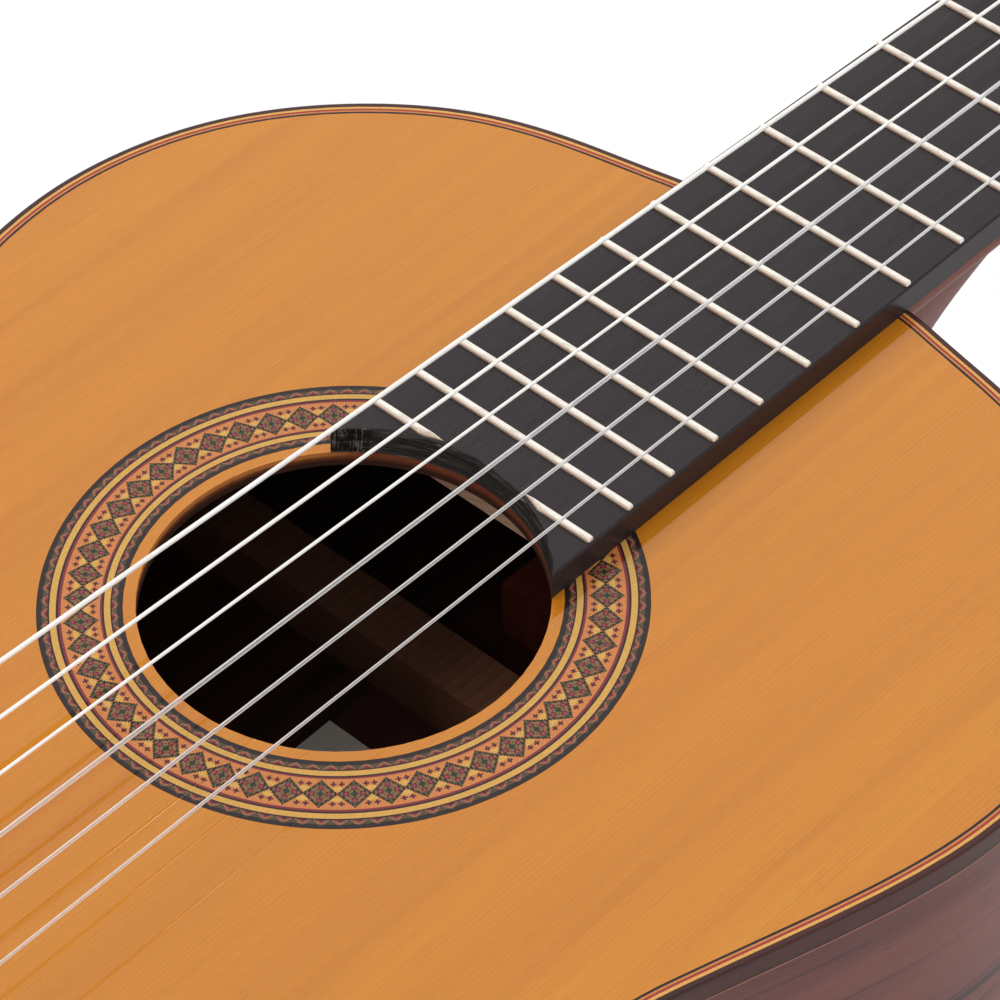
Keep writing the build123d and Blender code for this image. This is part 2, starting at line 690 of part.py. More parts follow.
# bridge profiles: z, height above the soundboard
TIE_AND_SADDLE_PROFILE = [(BRIDGE_TAIL_Z, 0), (BRIDGE_TAIL_Z, TIE_H), (TIE_END_Z, TIE_H),
                          (TIE_END_Z, 4.4), (157.5, 4.4), (159.0, 9.2), (165.0, 9.2)]
BRIDGE_NOSE = [(165.0, 9.2), (167.6, 7.6), (BRIDGE_NECK_Z, 4.5)]
WING_TOP = [(BRIDGE_TAIL_Z, 1.2), (146.0, 3.4), (154.0, 4.0), (162.0, 3.4), (BRIDGE_NECK_Z, 1.2)]
SADDLE_SLOT_D = 6.0
strip_boxes = [(-BRIDGE_HALF, BRIDGE_HALF, -TIE_H, TIE_STRIP_Y, z, z + TIE_STRIP_W)
               for z in (BRIDGE_TAIL_Z, TIE_END_Z - TIE_STRIP_W)]
with BuildPart() as bridge:
    with BuildSketch(profile_plane(-BRIDGE_HALF)):
        with BuildLine():
            Polyline(*TIE_AND_SADDLE_PROFILE)
            Spline(*BRIDGE_NOSE, tangents=[(1, 0), (0, -1)])
            Polyline(BRIDGE_NOSE[-1], (BRIDGE_NECK_Z, 0), (BRIDGE_TAIL_Z, 0))
        make_face()
    extrude(amount=2 * BRIDGE_HALF)
    # the wings reach 1 mm into the middle
    for x in (-(BRIDGE_HALF - 1 + WING_L), BRIDGE_HALF - 1):
        with BuildSketch(profile_plane(x)):
            with BuildLine():
                Line((BRIDGE_NECK_Z, 0), (BRIDGE_TAIL_Z, 0))
                Line((BRIDGE_TAIL_Z, 0), WING_TOP[0])
                Spline(*WING_TOP)
                Line(WING_TOP[-1], (BRIDGE_NECK_Z, 0))
            make_face()
        extrude(amount=WING_L)
    with Locations((0, SADDLE_FOOT_Y - SADDLE_SLOT_D / 2, SADDLE_Z)):
        Box(2 * SADDLE_HALF, SADDLE_SLOT_D, SADDLE_T, mode=Mode.SUBTRACT)
    for x0, x1, y0, y1, z0, z1 in strip_boxes:
        add(block(x0, x1, y0 - 1, y1, z0, z1), mode=Mode.SUBTRACT)
    for string in STRINGS.values():
        with BuildSketch(Plane.XY.offset(130.0)):
            with Locations((string.saddle_x, TIE_Y)):
                Circle(0.95)
        extrude(amount=22.0, mode=Mode.SUBTRACT)
save(bridge.part, "bridge")

with BuildPart() as tie_block_strips:
    for bounds in strip_boxes:
        add(block(*bounds))
save(tie_block_strips.part, "tie_block_strips")


# ---------------------------------------------------------------- tuning machines
def worm_along(along):
    """Place along the head of the worm that drives the roller at the given place."""
    return along + WHEEL_R + WORM_R


def tuner_plate(side):
    """Side plate with a pair of lugs for each worm."""
    lug_x = PLATE_X - 0.5
    with BuildPart() as plate:
        with BuildSketch(rod_plane(side, HEAD_HALF, PLATE_X, 0)):
            with Locations(((SCREW_ALONG[0] + SCREW_ALONG[-1]) / 2, 0)):
                SlotOverall(113.0, 15.0)
            for along in ROLLER_ALONG:
                with Locations((along, 0)):
                    Circle(AXLE_R + RUN, mode=Mode.SUBTRACT)
            for along in SCREW_ALONG:
                with Locations((along, 0)):
                    Circle(PLATE_SCREW_R, mode=Mode.SUBTRACT)
        extrude(amount=PLATE_T)
        for along in ROLLER_ALONG:
            for lug_out in (LUG_IN, -LUG_OUT):
                with BuildSketch(over_head(0, worm_along(along), ROLLER_OUT + lug_out, side)):
                    with Locations(((lug_x + WHEEL_X) / 2, 0)):
                        Rectangle(WHEEL_X - lug_x, 2 * LUG_R)
                    with Locations((WHEEL_X, 0)):
                        Circle(LUG_R)
                        Circle(WORM_SHAFT_R + RUN, mode=Mode.SUBTRACT)
                extrude(amount=LUG_OUT - LUG_IN)
    return plate.part


save(tuner_plate(1), "tuner_plate_treble")
save(tuner_plate(-1), "tuner_plate_bass")

with BuildPart() as plate_screws:
    for side in (-1, 1):
        for along in SCREW_ALONG:
            add(rod(side, 28.5, PLATE_X, along, PLATE_SCREW_R))
            with BuildSketch(across(side * PLATE_X, along, ROLLER_OUT, facing=side)):
                Circle(2.3)
            extrude(amount=SCREW_HEAD_H, taper=30)
save(plate_screws.part, "plate_screws")

PITCH = 2 * math.pi * WHEEL_R / TEETH                 # tooth pitch, equal to the worm's axial pitch
THREAD_ROOT_R = WORM_SHAFT_R - 0.15                   # sunk into the shaft
THREAD_H = WORM_TIP_R - THREAD_ROOT_R
THREAD_PROFILE = [(0, -0.76), (THREAD_H, -0.28), (THREAD_H, 0.28), (0, 0.76), (0, -0.76)]
with BuildPart() as worm_thread:
    with BuildLine() as thread_path:
        Helix(pitch=PITCH, height=4 * PITCH, radius=THREAD_ROOT_R, center=(0, 0, -2 * PITCH))
    with BuildSketch(Plane(origin=thread_path.line @ 0, x_dir=(1, 0, 0),
                           z_dir=thread_path.line % 0)):
        with BuildLine():
            Polyline(*THREAD_PROFILE)
        make_face()
    sweep(path=thread_path.line, is_frenet=True)

WORM_TOP, WORM_BOTTOM = 10.2, -30.0                   # shaft ends, from the middle of the thread
COLLAR_T = 1.2
with BuildPart() as worm_master:
    add(worm_thread.part)
    with Locations((0, 0, (WORM_TOP + WORM_BOTTOM) / 2)):
        Cylinder(WORM_SHAFT_R, WORM_TOP - WORM_BOTTOM)
    with Locations((0, 0, LUG_OUT + 0.1 + COLLAR_T / 2)):
        Cylinder(2.9, COLLAR_T)

# wheel about +Z, a gap between two teeth on the local +X side
TOOTH = [(5.3, -0.80), (7.45, -0.26), (7.45, 0.26), (5.3, 0.80)]
with BuildPart() as wheel_master:
    with BuildSketch(Plane.XY.offset(-WHEEL_T / 2)):
        Circle(5.55)
        with PolarLocations(0, TEETH, start_angle=180.0 / TEETH):
            Polygon(*TOOTH, align=None)
        Circle(SEAT_R, mode=Mode.SUBTRACT)
    extrude(amount=WHEEL_T)

# button body in the plane of the shaft; local z runs from the head's back to the free end
BUTTON_T = 8.2
NECK_L = 3.8             # round neck at the shaft end
BORE_START, BORE_END = -0.1, 12.0
with BuildPart() as button_master:
    with BuildSketch(Plane.XZ.offset(-BUTTON_T / 2)):
        with Locations((0, 12.9)):
            Ellipse(8.6, 10.0)
    extrude(amount=BUTTON_T)
    fillet(button_master.faces().filter_by(Axis.Y).edges(), radius=2.6)
    with Locations((0, 0, NECK_L / 2)):
        Cylinder(3.2, NECK_L)
    with Locations((0, 0, (BORE_START + BORE_END) / 2)):
        Cylinder(WORM_SHAFT_R, BORE_END - BORE_START, mode=Mode.SUBTRACT)


def string_roller(string):
    """Barrel in the slot, axle through the cheek, seat for the wheel, and the wound string."""
    side, along, diameter = string.side, string.along, string.diameter
    hole_x = side * (string.roller_x - 5.2 * diameter)
    with BuildPart() as roller:
        add(rod(side, SLOT_X - BARREL_HALF, SLOT_X + BARREL_HALF, along, BARREL_R))
        add(rod(side, 1.7, PLATE_X + 0.1, along, AXLE_R))
        add(rod(side, 30.0, WHEEL_END_X, along, SEAT_R))
        add(rod(side, WHEEL_END_X - 5.0, WHEEL_END_X, along, WHEEL_SCREW_R), mode=Mode.SUBTRACT)
        with BuildSketch(over_head(hole_x, along, ROLLER_OUT - 8)):
            Circle(0.8)
        extrude(amount=16.0, mode=Mode.SUBTRACT)
    wraps = rod(side, string.roller_x - 4.4 * diameter, string.roller_x - 0.85 * diameter,
                along, BARREL_R + diameter, bore=BARREL_R)
    return Compound(list(roller.part.solids()) + list(wraps.solids()))


def worm_wheel(string):
    """Toothed wheel with its hub, and the slotted screw that holds it."""
    side, along = string.side, string.along
    with BuildPart() as wheel:
        add(across(side * WHEEL_X, along, ROLLER_OUT).location * wheel_master.part)
        add(rod(side, HUB_X, WHEEL_X - WHEEL_T / 2, along, 4.2, bore=SEAT_R))
    with BuildPart() as screw:
        with BuildSketch(across(side * WHEEL_END_X, along, ROLLER_OUT, facing=side)):
            Circle(2.9)
        extrude(amount=SCREW_HEAD_H, taper=20)
        with Locations(across(side * (WHEEL_END_X + SCREW_HEAD_H), along, ROLLER_OUT,
                              facing=side)):
            Box(6.0, 0.7, 1.0, mode=Mode.SUBTRACT)
        add(rod(side, WHEEL_END_X - 4.6, WHEEL_END_X, along, WHEEL_SCREW_R))
    return Compound(list(wheel.part.solids()) + list(screw.part.solids()))


def worm_shaft(string):
    origin = head_point(string.side * WHEEL_X, worm_along(string.along), ROLLER_OUT)
    plane = Plane(origin=origin, x_dir=-UP_HEAD, z_dir=OUT_OF_HEAD)
    with BuildPart() as worm:
        add(plane.location * worm_master.part)
    return worm.part


def tuning_button(string, worm):
    origin = head_point(string.side * WHEEL_X, worm_along(string.along),
                        ROLLER_OUT - LUG_OUT - 0.3)
    plane = Plane(origin=origin, x_dir=(1, 0, 0), z_dir=-OUT_OF_HEAD)
    with BuildPart() as button:
        add(plane.location * button_master.part)
        add(worm, mode=Mode.SUBTRACT)
    return button.part


for number, string in STRINGS.items():
    save(string_roller(string), "string_roller_%d" % number)
    save(worm_wheel(string), "worm_wheel_%d" % number)
    worm = worm_shaft(string)
    save(worm, "worm_shaft_%d" % number)
    save(tuning_button(string, worm), "tuning_button_%d" % number)
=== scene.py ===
"""A classical guitar, standing upright.

Sizes are millimetres until a mesh is made.  x points to the treble side, -y is the front, z is up.
The soundboard's face is the plane y = 0 and the body's tail end is at z = 0.
"""
import bpy
import math
import random
from collections import namedtuple
from mathutils import Matrix, Vector, kdtree


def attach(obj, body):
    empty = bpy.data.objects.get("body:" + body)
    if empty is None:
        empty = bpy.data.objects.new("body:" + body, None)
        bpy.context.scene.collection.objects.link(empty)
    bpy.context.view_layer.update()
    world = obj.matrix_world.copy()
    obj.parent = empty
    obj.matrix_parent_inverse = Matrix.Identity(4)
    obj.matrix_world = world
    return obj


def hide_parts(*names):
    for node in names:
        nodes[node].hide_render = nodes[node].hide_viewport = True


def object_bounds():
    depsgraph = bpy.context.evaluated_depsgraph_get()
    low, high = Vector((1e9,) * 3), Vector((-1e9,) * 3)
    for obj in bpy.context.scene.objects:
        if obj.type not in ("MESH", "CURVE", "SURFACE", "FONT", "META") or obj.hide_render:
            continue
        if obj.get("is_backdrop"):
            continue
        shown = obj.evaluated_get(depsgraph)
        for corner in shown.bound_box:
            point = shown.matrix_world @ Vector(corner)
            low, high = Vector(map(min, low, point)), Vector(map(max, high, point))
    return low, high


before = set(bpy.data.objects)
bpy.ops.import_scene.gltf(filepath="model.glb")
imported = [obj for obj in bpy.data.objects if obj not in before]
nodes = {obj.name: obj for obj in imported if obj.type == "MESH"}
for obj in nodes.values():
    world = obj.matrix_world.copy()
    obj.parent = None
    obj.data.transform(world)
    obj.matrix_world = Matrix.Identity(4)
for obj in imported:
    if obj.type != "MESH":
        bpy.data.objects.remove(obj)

cad_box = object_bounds()
random.seed(7)
MM = 0.001

# ------------------------------------------------------------------ shared sizes
NUT_Z = 813.0
NUT_H = 9.4
SCALE = 650.0                   # string length that spaces the frets
SADDLE_Z = 162.25
SADDLE_H = (14.2, 15.2)         # string 1, string 6
HOLE_Z, HOLE_R = 337.5, 44.0
BOARD_T = 7.0                   # fingerboard thickness
TIE_Y = -6.0                    # height of the string holes in the tie block
TIE_BLOCK_H = 9.5
TIE_BLOCK_Z = 138.7             # tail side of the tie block
HEAD_Z = 818.0                  # where the head's tilted face starts
HEAD_SIN, HEAD_COS = math.sin(math.radians(15)), math.cos(math.radians(15))
ROLLER_OUT = -8.5               # roller axes, behind the head's face
BARREL_R = 5.0

# roller_along: place of the roller along the head.  roller_x: where the string meets it.
Cord = namedtuple("Cord", "diameter nut_x saddle_x roller_along roller_x")
STRINGS = (
    Cord(0.71, 20.0, 30.4, 36.0, 18.8),
    Cord(0.82, 11.9, 17.9, 71.0, 15.4),
    Cord(1.02, 3.75, 6.05, 106.0, 12.2),
    Cord(0.74, -4.3, -6.4, 106.0, -12.2),
    Cord(0.89, -12.4, -18.0, 71.0, -15.4),
    Cord(1.10, -20.35, -30.0, 36.0, -18.8))

# treble half of the body's outline from tail to neck: x, z, then the inward normal's x and z
OUTLINE = [
    (0.000, 0.000, -0.00000, 1.00000), (15.156, 0.087, -0.01421, 0.99990), (30.305, 0.522, -0.04644, 0.99892),
    (45.422, 1.594, -0.09810, 0.99518), (60.445, 3.574, -0.16502, 0.98629), (75.288, 6.620, -0.23733, 0.97143),
    (89.858, 10.783, -0.31263, 0.94987), (104.038, 16.121, -0.39257, 0.91972), (117.680, 22.711, -0.47801, 0.87836),
    (130.596, 30.627, -0.56650, 0.82406), (142.597, 39.872, -0.65305, 0.75731), (153.482, 50.406, -0.73627, 0.67669),
    (163.034, 62.161, -0.81371, 0.58127), (171.035, 75.021, -0.88105, 0.47302), (177.322, 88.800, -0.93499, 0.35466),
    (181.721, 103.292, -0.97470, 0.22350), (184.020, 118.258, -0.99700, 0.07735), (184.075, 133.401, -0.99775, -0.06699),
    (182.089, 148.417, -0.98141, -0.19193), (178.349, 163.096, -0.95431, -0.29881), (173.104, 177.309, -0.92032, -0.39116),
    (166.557, 190.973, -0.88230, -0.47069), (158.902, 204.050, -0.84343, -0.53724), (150.333, 216.548, -0.80618, -0.59167),
    (141.163, 228.615, -0.79514, -0.60643), (132.321, 240.920, -0.83693, -0.54731), (124.998, 254.171, -0.91429, -0.40506),
    (120.308, 268.554, -0.97858, -0.20586), (119.066, 283.616, -0.99879, 0.04926), (121.366, 298.575, -0.97272, 0.23197),
    (125.475, 313.161, -0.95646, 0.29186), (129.948, 327.642, -0.95548, 0.29506), (134.314, 342.155, -0.96070, 0.27761),
    (138.209, 356.801, -0.97345, 0.22892), (141.018, 371.688, -0.99102, 0.13374), (142.014, 386.799, -0.99995, -0.00953),
    (140.684, 401.881, -0.98623, -0.16540), (137.016, 416.570, -0.94800, -0.31827), (131.047, 430.483, -0.88329, -0.46882),
    (122.860, 443.218, -0.79545, -0.60602), (112.844, 454.576, -0.70285, -0.71134), (101.395, 464.491, -0.60268, -0.79798),
    (88.604, 472.586, -0.45820, -0.88885), (74.610, 478.362, -0.30930, -0.95097), (59.968, 482.254, -0.21833, -0.97587),
    (45.117, 485.277, -0.18915, -0.98195), (30.312, 488.008, -0.00781, -0.99997), (15.156, 488.011, 0.00129, -1.00000),
    (0.000, 488.000, -0.00000, -1.00000)]


def head_point(x, along, out):
    """Point on the tilted head: along its face from HEAD_Z, and out in front of the face."""
    return Vector((x, along * HEAD_SIN - out * HEAD_COS, HEAD_Z + along * HEAD_COS + out * HEAD_SIN))


def board_half(z):
    """Half width of the fingerboard: 26 at the nut, 4.9 more halfway along the scale."""
    return 26.0 + (NUT_Z - z) / (SCALE / 2) * 4.9


def fret_z(number):
    return NUT_Z - SCALE * (1 - 2 ** (-number / 12))


def dense_outline(per_span=14):
    """Whole outline as a Catmull-Rom curve, anticlockwise seen from the front."""
    points = OUTLINE + [(-x, z, -nx, nz) for x, z, nx, nz in OUTLINE[1:-1]][::-1]
    count = len(points)
    dense = []
    for i in range(count):
        corners = [points[(i + k) % count] for k in (-1, 0, 1, 2)]
        for j in range(per_span):
            t = j / per_span
            x, z, nx, nz = (
                0.5 * (2 * b + (c - a) * t + (2 * a - 5 * b + 4 * c - d) * t * t
                       + (3 * b - a - 3 * c + d) * t ** 3)
                for a, b, c, d in zip(*corners))
            length = math.hypot(nx, nz)
            dense.append((x, z, nx / length, nz / length))
    return dense


EDGE = dense_outline()


# ------------------------------------------------------------------ shader helpers
class Field:
    """A node's output.  Arithmetic on it adds Math nodes."""

    def __init__(self, graph, socket):
        self.graph = graph
        self.socket = socket

    def __add__(self, other):
        return self.graph.math("ADD", self, other)

    def __sub__(self, other):
        return self.graph.math("SUBTRACT", self, other)

    def __rsub__(self, other):
        return self.graph.math("SUBTRACT", other, self)

    def __mul__(self, other):
        return self.graph.math("MULTIPLY", self, other)

    def __truediv__(self, other):
        return self.graph.math("DIVIDE", self, other)

    def __pow__(self, other):
        return self.graph.math("POWER", self, other)

    def __abs__(self):
        return self.graph.math("ABSOLUTE", self)


class Graph:
    """Node tree of a material or a world."""

    def __init__(self, owner, end):
        owner.use_nodes = True
        self.nodes = owner.node_tree.nodes
        self.links = owner.node_tree.links
        self.nodes.clear()
        self.end = self.nodes.new(end)

    def put(self, socket, value):
        if isinstance(value, Field):
            self.links.new(value.socket, socket)
            return
        default = socket.default_value
        if hasattr(default, "__len__") and len(default) == 4 and len(value) == 3:
            value = (*value, 1.0)
        socket.default_value = value

    def make(self, kind, inputs=None, output=0, **props):
        node = self.nodes.new(kind)
        for key, value in props.items():
            setattr(node, key, value)
        for key, value in (inputs or {}).items():
            self.put(node.inputs[key], value)
        return Field(self, node.outputs[output])

    def math(self, operation, *values):
        return self.make("ShaderNodeMath", dict(enumerate(values)), operation=operation)

    def fade(self, value, span, to, smooth=False):
        """Carries value from the range span over to the range to."""
        kind = "SMOOTHSTEP" if smooth else "LINEAR"
        return self.make("ShaderNodeMapRange", dict(enumerate((value, *span, *to))),
                         interpolation_type=kind)

    def mix_shaders(self, amount, first, second):
        return self.make("ShaderNodeMixShader", {0: amount, 1: first, 2: second})

    def finish(self, shader):
        self.put(self.end.inputs[0], shader)


PALETTE = {}


class Look(Graph):
    """A material in the palette.  Its textures are laid out in object coordinates, in millimetres.

    Factors on coordinates are noise cycles per millimetre, so a small factor gives a long streak.
    A lone number in place of a coordinate, or added to one, only picks another part of the noise.
    """

    def __init__(self, name):
        PALETTE[name] = bpy.data.materials.new(name)
        super().__init__(PALETTE[name], "ShaderNodeOutputMaterial")
        self.place = self.scaled(self.make("ShaderNodeTexCoord", output="Object"), (1000, 1000, 1000))

    def scaled(self, vector, factors):
        return self.make("ShaderNodeVectorMath", {0: vector, 1: factors}, operation="MULTIPLY")

    def axes(self, vector=None):
        first = self.make("ShaderNodeSeparateXYZ", {0: vector or self.place})
        return [Field(self, socket) for socket in first.socket.node.outputs]

    def noise(self, vector, detail, rough=0.5, warp=0.0):
        return self.make("ShaderNodeTexNoise", {
            "Vector": vector, "Scale": 1.0, "Detail": detail, "Roughness": rough,
            "Distortion": warp}, output="Fac")

    def spots(self, per_mm, detail, rough):
        """Noise over the place; per_mm is one factor, or one for each axis."""
        factors = per_mm if isinstance(per_mm, tuple) else (per_mm,) * 3
        return self.noise(self.scaled(self.place, factors), detail, rough)

    def grain(self, x, y, z, detail, rough=0.5, warp=0.0):
        """Noise over coordinates that are each stretched on their own."""
        vector = self.make("ShaderNodeCombineXYZ", {0: x, 1: y, 2: z})
        return self.noise(vector, detail, rough, warp)

    def ramp(self, value, *stops):
        """Colour ramp through (position, colour) stops."""
        field = self.make("ShaderNodeValToRGB", {0: value})
        elements = field.socket.node.color_ramp.elements
        while len(elements) < len(stops):
            elements.new(0.5)
        for element, (position, colour) in zip(elements, stops):
            element.position = position
            element.color = (*colour, 1.0)
        return field

    def mix(self, amount, base, colour):
        return self.make("ShaderNodeMix", {0: amount, 6: base, 7: colour}, output=2,
                         data_type="RGBA", clamp_factor=True)

    def tint(self, base, where, span, amount, colour, smooth=False):
        """Mixes in colour, from none where `where` is span[0] up to amount at span[1]."""
        return self.mix(self.fade(where, span, (0.0, amount), smooth), base, colour)

    def bump(self, height, depth_mm):
        return self.make("ShaderNodeBump",
                         {"Height": height, "Distance": depth_mm * MM, "Strength": 1.0})

    def lacquer(self):
        """Faint waviness of a polished lacquer film."""
        return self.bump(self.spots(0.05, detail=2.0, rough=0.5), depth_mm=0.02)

    def principled(self, **inputs):
        return self.make("ShaderNodeBsdfPrincipled",
                         {key.replace("_", " "): value for key, value in inputs.items()})

    def surface(self, **inputs):
        self.finish(self.principled(**inputs))


def shade(colour, factor):
    return tuple(part * factor for part in colour)


def grey(level):
    return (level,) * 3


# ------------------------------------------------------------------ materials
def growth_lines(look, across, spacing, sharpness, wander, seed=0.0):
    """Saw-toothed lines, 0 to 1, spaced in mm across the grain and wandering slowly along z."""
    z = look.axes()[2]
    slow = look.grain(across * 0.012, seed, z * 0.0022, detail=2.0)
    wide = look.grain(across * 0.11, seed + 3.1, z * 0.0006, detail=1.0)
    position = across + (slow - 0.5) * (wander * 2)
    position = position + wide * (spacing * 3.0)
    return look.math("FRACT", position / spacing) ** sharpness


def cedar():
    """Lacquered soundboard, its two halves mirrored about the centre."""
    look = Look("cedar_lacquered")
    x, y, z = look.axes()
    side = abs(x)
    lines = growth_lines(look, side, spacing=0.98, sharpness=2.2, wander=3.0)
    clumps = look.grain(side * 0.30, 7.0, z * 0.012, detail=3.0, rough=0.6)
    lines = lines * look.fade(clumps, span=(0.36, 0.62), to=(0.15, 1.0))
    fibre = look.grain(side * 2.6, 0.0, z * 0.03, detail=3.0, rough=0.6)
    fine = look.grain(x * 6.0, y * 2.0, z * 0.35, detail=2.0, rough=0.6)
    band = look.grain(side * 0.075, 4.0, z * 0.0022, detail=3.0, rough=0.55)
    broad = look.grain(x * 0.011, 9.0, z * 0.004, detail=2.0)
    rays = look.grain(x * 0.5, 2.0, z * 1.4, detail=2.0, rough=0.5)
    base = look.ramp(band, (0.28, (0.560, 0.182, 0.0040)), (0.48, (0.650, 0.236, 0.0050)),
                     (0.72, (0.705, 0.276, 0.0065)))
    base = look.tint(base, broad, span=(0.3, 0.7), amount=0.35, colour=(0.630, 0.205, 0.0050))
    base = look.mix(lines * 0.44, base, (0.440, 0.112, 0.0030))
    base = look.tint(base, fibre, span=(0.50, 0.75), amount=0.34, colour=(0.455, 0.122, 0.0040))
    base = look.tint(base, fine, span=(0.5, 0.8), amount=0.30, colour=(0.760, 0.310, 0.0200))
    base = look.tint(base, fine, span=(0.5, 0.2), amount=0.30, colour=(0.470, 0.130, 0.0040))
    base = look.tint(base, rays, span=(0.6, 0.8), amount=0.10, colour=(0.650, 0.215, 0.0190))
    look.surface(Base_Color=base, Roughness=0.55, IOR=1.35, Specular_IOR_Level=0.12,
                 Normal=look.bump(lines * -0.6 + fibre, depth_mm=0.008), Coat_Weight=0.85,
                 Coat_Roughness=0.035, Coat_IOR=1.56, Coat_Normal=look.lacquer())


def bare_wood(name, light, dark, spacing, seed=0.0, shaded_bass_side=False):
    """Unfinished quarter-sawn softwood; the flag adds painted shade that darkens it towards the bass side."""
    look = Look(name)
    x, y, z = look.axes()
    lines = growth_lines(look, y * 0.8 + x * 0.31, spacing, sharpness=2.0, wander=2.0, seed=seed)
    fibre = look.grain(x * 0.6, y * 3.0, z * 0.4, detail=3.0, rough=0.6)
    base = look.mix(lines * 0.6, light, dark)
    base = look.tint(base, fibre, span=(0.45, 0.75), amount=0.5, colour=dark)
    # painted shade inside the box: darker towards the bass side, where little light comes in through the hole
    if shaded_bass_side:
        base = look.mix(look.fade(x, span=(-25.0, 22.0), to=(0.75, 0.0)), base, (0.030, 0.012, 0.009))
    look.surface(Base_Color=base, Roughness=0.75, Specular_IOR_Level=0.3,
                 Normal=look.bump(fibre, depth_mm=0.05))


def rosewood(name, along="z", seed=0.0, coat=1.0, rough=0.35, lift=1.0, streak=0.85):
    """Dark, streaky wood with open pores.

    along: the grain's direction; "side" follows the outline, with figure that changes with depth.
    lift: brightness of the wood.  streak: strength of the dark streaks.
    """
    look = Look(name)
    x, y, z = look.axes()

    def figure(cross, length, seed, **noise):
        if along == "side":
            place = (x * length + seed, y * cross, z * length)
        elif along == "x":
            place = (x * length, y * cross + seed, z * cross)
        else:
            place = (abs(x) * cross + seed, y * (cross * 0.35), z * length)
        return look.grain(*place, **noise)

    broad = figure(cross=0.045, length=0.0035, seed=seed, detail=4.0, rough=0.55, warp=0.35)
    streaks = figure(cross=0.16, length=0.004, seed=seed + 5, detail=4.0, rough=0.6, warp=0.2)
    fibre = figure(cross=1.3, length=0.012, seed=seed + 9, detail=3.0, rough=0.6)
    pores = figure(cross=4.5, length=0.22, seed=seed + 2, detail=2.0, rough=0.6)
    base = look.ramp(broad, (0.30, shade((0.050, 0.015, 0.015), lift)),
                     (0.45, shade((0.120, 0.031, 0.028), lift)),
                     (0.60, shade((0.165, 0.048, 0.040), lift)),
                     (0.78, shade((0.090, 0.024, 0.022), lift)))
    base = look.tint(base, streaks, span=(0.50, 0.64), amount=streak,
                     colour=(0.016, 0.008, 0.009), smooth=True)
    base = look.tint(base, fibre, span=(0.45, 0.8), amount=0.45,
                     colour=shade((0.17, 0.058, 0.036), lift))
    pore = look.fade(pores, span=(0.62, 0.70), to=(0.0, 1.0))
    base = look.mix(pore * 0.7, base, (0.012, 0.006, 0.006))
    relief = look.bump(fibre * 0.3 - pore, depth_mm=0.03 if coat > 0 else 0.06)
    look.surface(Base_Color=base, Roughness=rough, Specular_IOR_Level=0.22, Normal=relief,
                 Coat_Weight=coat, Coat_Roughness=0.06, Coat_IOR=1.54, Coat_Normal=look.lacquer())


def mahogany():
    look = Look("mahogany_neck")
    x, y, z = look.axes()
    figure = look.grain(x * 0.08, y * 0.05, z * 0.006, detail=3.0, rough=0.5, warp=0.4)
    ribbon = look.grain(x * 0.35, y * 0.22, z * 0.004, detail=3.0, rough=0.6)
    pores = look.grain(x * 3.6, y * 3.6, z * 0.16, detail=2.0, rough=0.6)
    base = look.ramp(figure, (0.3, (0.150, 0.030, 0.020)), (0.55, (0.205, 0.046, 0.030)),
                     (0.8, (0.250, 0.064, 0.040)))
    base = look.tint(base, ribbon, span=(0.4, 0.75), amount=0.5, colour=(0.125, 0.028, 0.018))
    pore = look.fade(pores, span=(0.61, 0.69), to=(0.0, 1.0))
    base = look.mix(pore * 0.65, base, (0.045, 0.012, 0.010))
    look.surface(Base_Color=base, Roughness=0.45, Specular_IOR_Level=0.1,
                 Normal=look.bump(pore, depth_mm=-0.03), Coat_Weight=0.12,
                 Coat_Roughness=0.15, Coat_IOR=1.5, Coat_Normal=look.lacquer())


def ebony():
    look = Look("ebony_satin")
    x, y, z = look.axes()
    pores = look.grain(x * 4.2, y * 4.2, z * 0.30, detail=2.0, rough=0.6)
    specks = look.grain(x * 2.2, y * 2.0, z * 0.9, detail=2.0, rough=0.7)
    fibre = look.grain(x * 1.2, y * 1.2, z * 0.02, detail=3.0, rough=0.6)
    cloud = look.grain(x * 0.03, y * 0.1, z * 0.015, detail=3.0, rough=0.6)
    base = look.ramp(fibre, (0.35, (0.018, 0.012, 0.016)), (0.55, (0.022, 0.015, 0.019)),
                     (0.75, (0.028, 0.019, 0.023)))
    base = look.tint(base, cloud, span=(0.4, 0.7), amount=0.5, colour=(0.024, 0.017, 0.021))
    pore = look.fade(pores, span=(0.63, 0.70), to=(0.0, 1.0))
    dust = look.fade(specks, span=(0.72, 0.78), to=(0.0, 1.0))
    base = look.mix(pore * 0.8, base, (0.004, 0.003, 0.003))
    base = look.mix(dust * 0.35, base, (0.12, 0.105, 0.10))
    look.surface(Base_Color=base, Roughness=look.fade(cloud, span=(0.3, 0.7), to=(0.30, 0.40)),
                 Specular_IOR_Level=0.30, Normal=look.bump(fibre * 0.4 - pore, depth_mm=0.03))


def cut_ebony():
    """Scraped by hand: strokes along the curve, upright file marks at the bass corner; the pale streaks are partly
    painted highlight.
    """
    look = Look("ebony_cut_end")
    x, y, z = look.axes()
    stroke = look.grain(x * 0.13, y * 3.4 + x * 0.22, z * 0.10, detail=4.0, rough=0.62, warp=0.3)
    file_marks = look.grain(x * 3.0, y * 0.25, z * 1.5, detail=2.0, rough=0.5)
    corner = look.fade(x, span=(-27.5, -25.0), to=(1.0, 0.0))
    mark = file_marks * corner + stroke * (1.0 - corner)
    # the palest ramp stops are partly real scrape marks and partly painted highlight along the streaks
    base = look.ramp(mark, (0.36, (0.005, 0.003, 0.003)), (0.50, (0.014, 0.010, 0.010)),
                     (0.58, (0.055, 0.047, 0.042)), (0.68, (0.190, 0.172, 0.150)))
    look.surface(Base_Color=base, Roughness=look.fade(mark, span=(0.35, 0.7), to=(0.45, 0.16)),
                 Specular_IOR_Level=0.55, Normal=look.bump(mark, depth_mm=0.5))


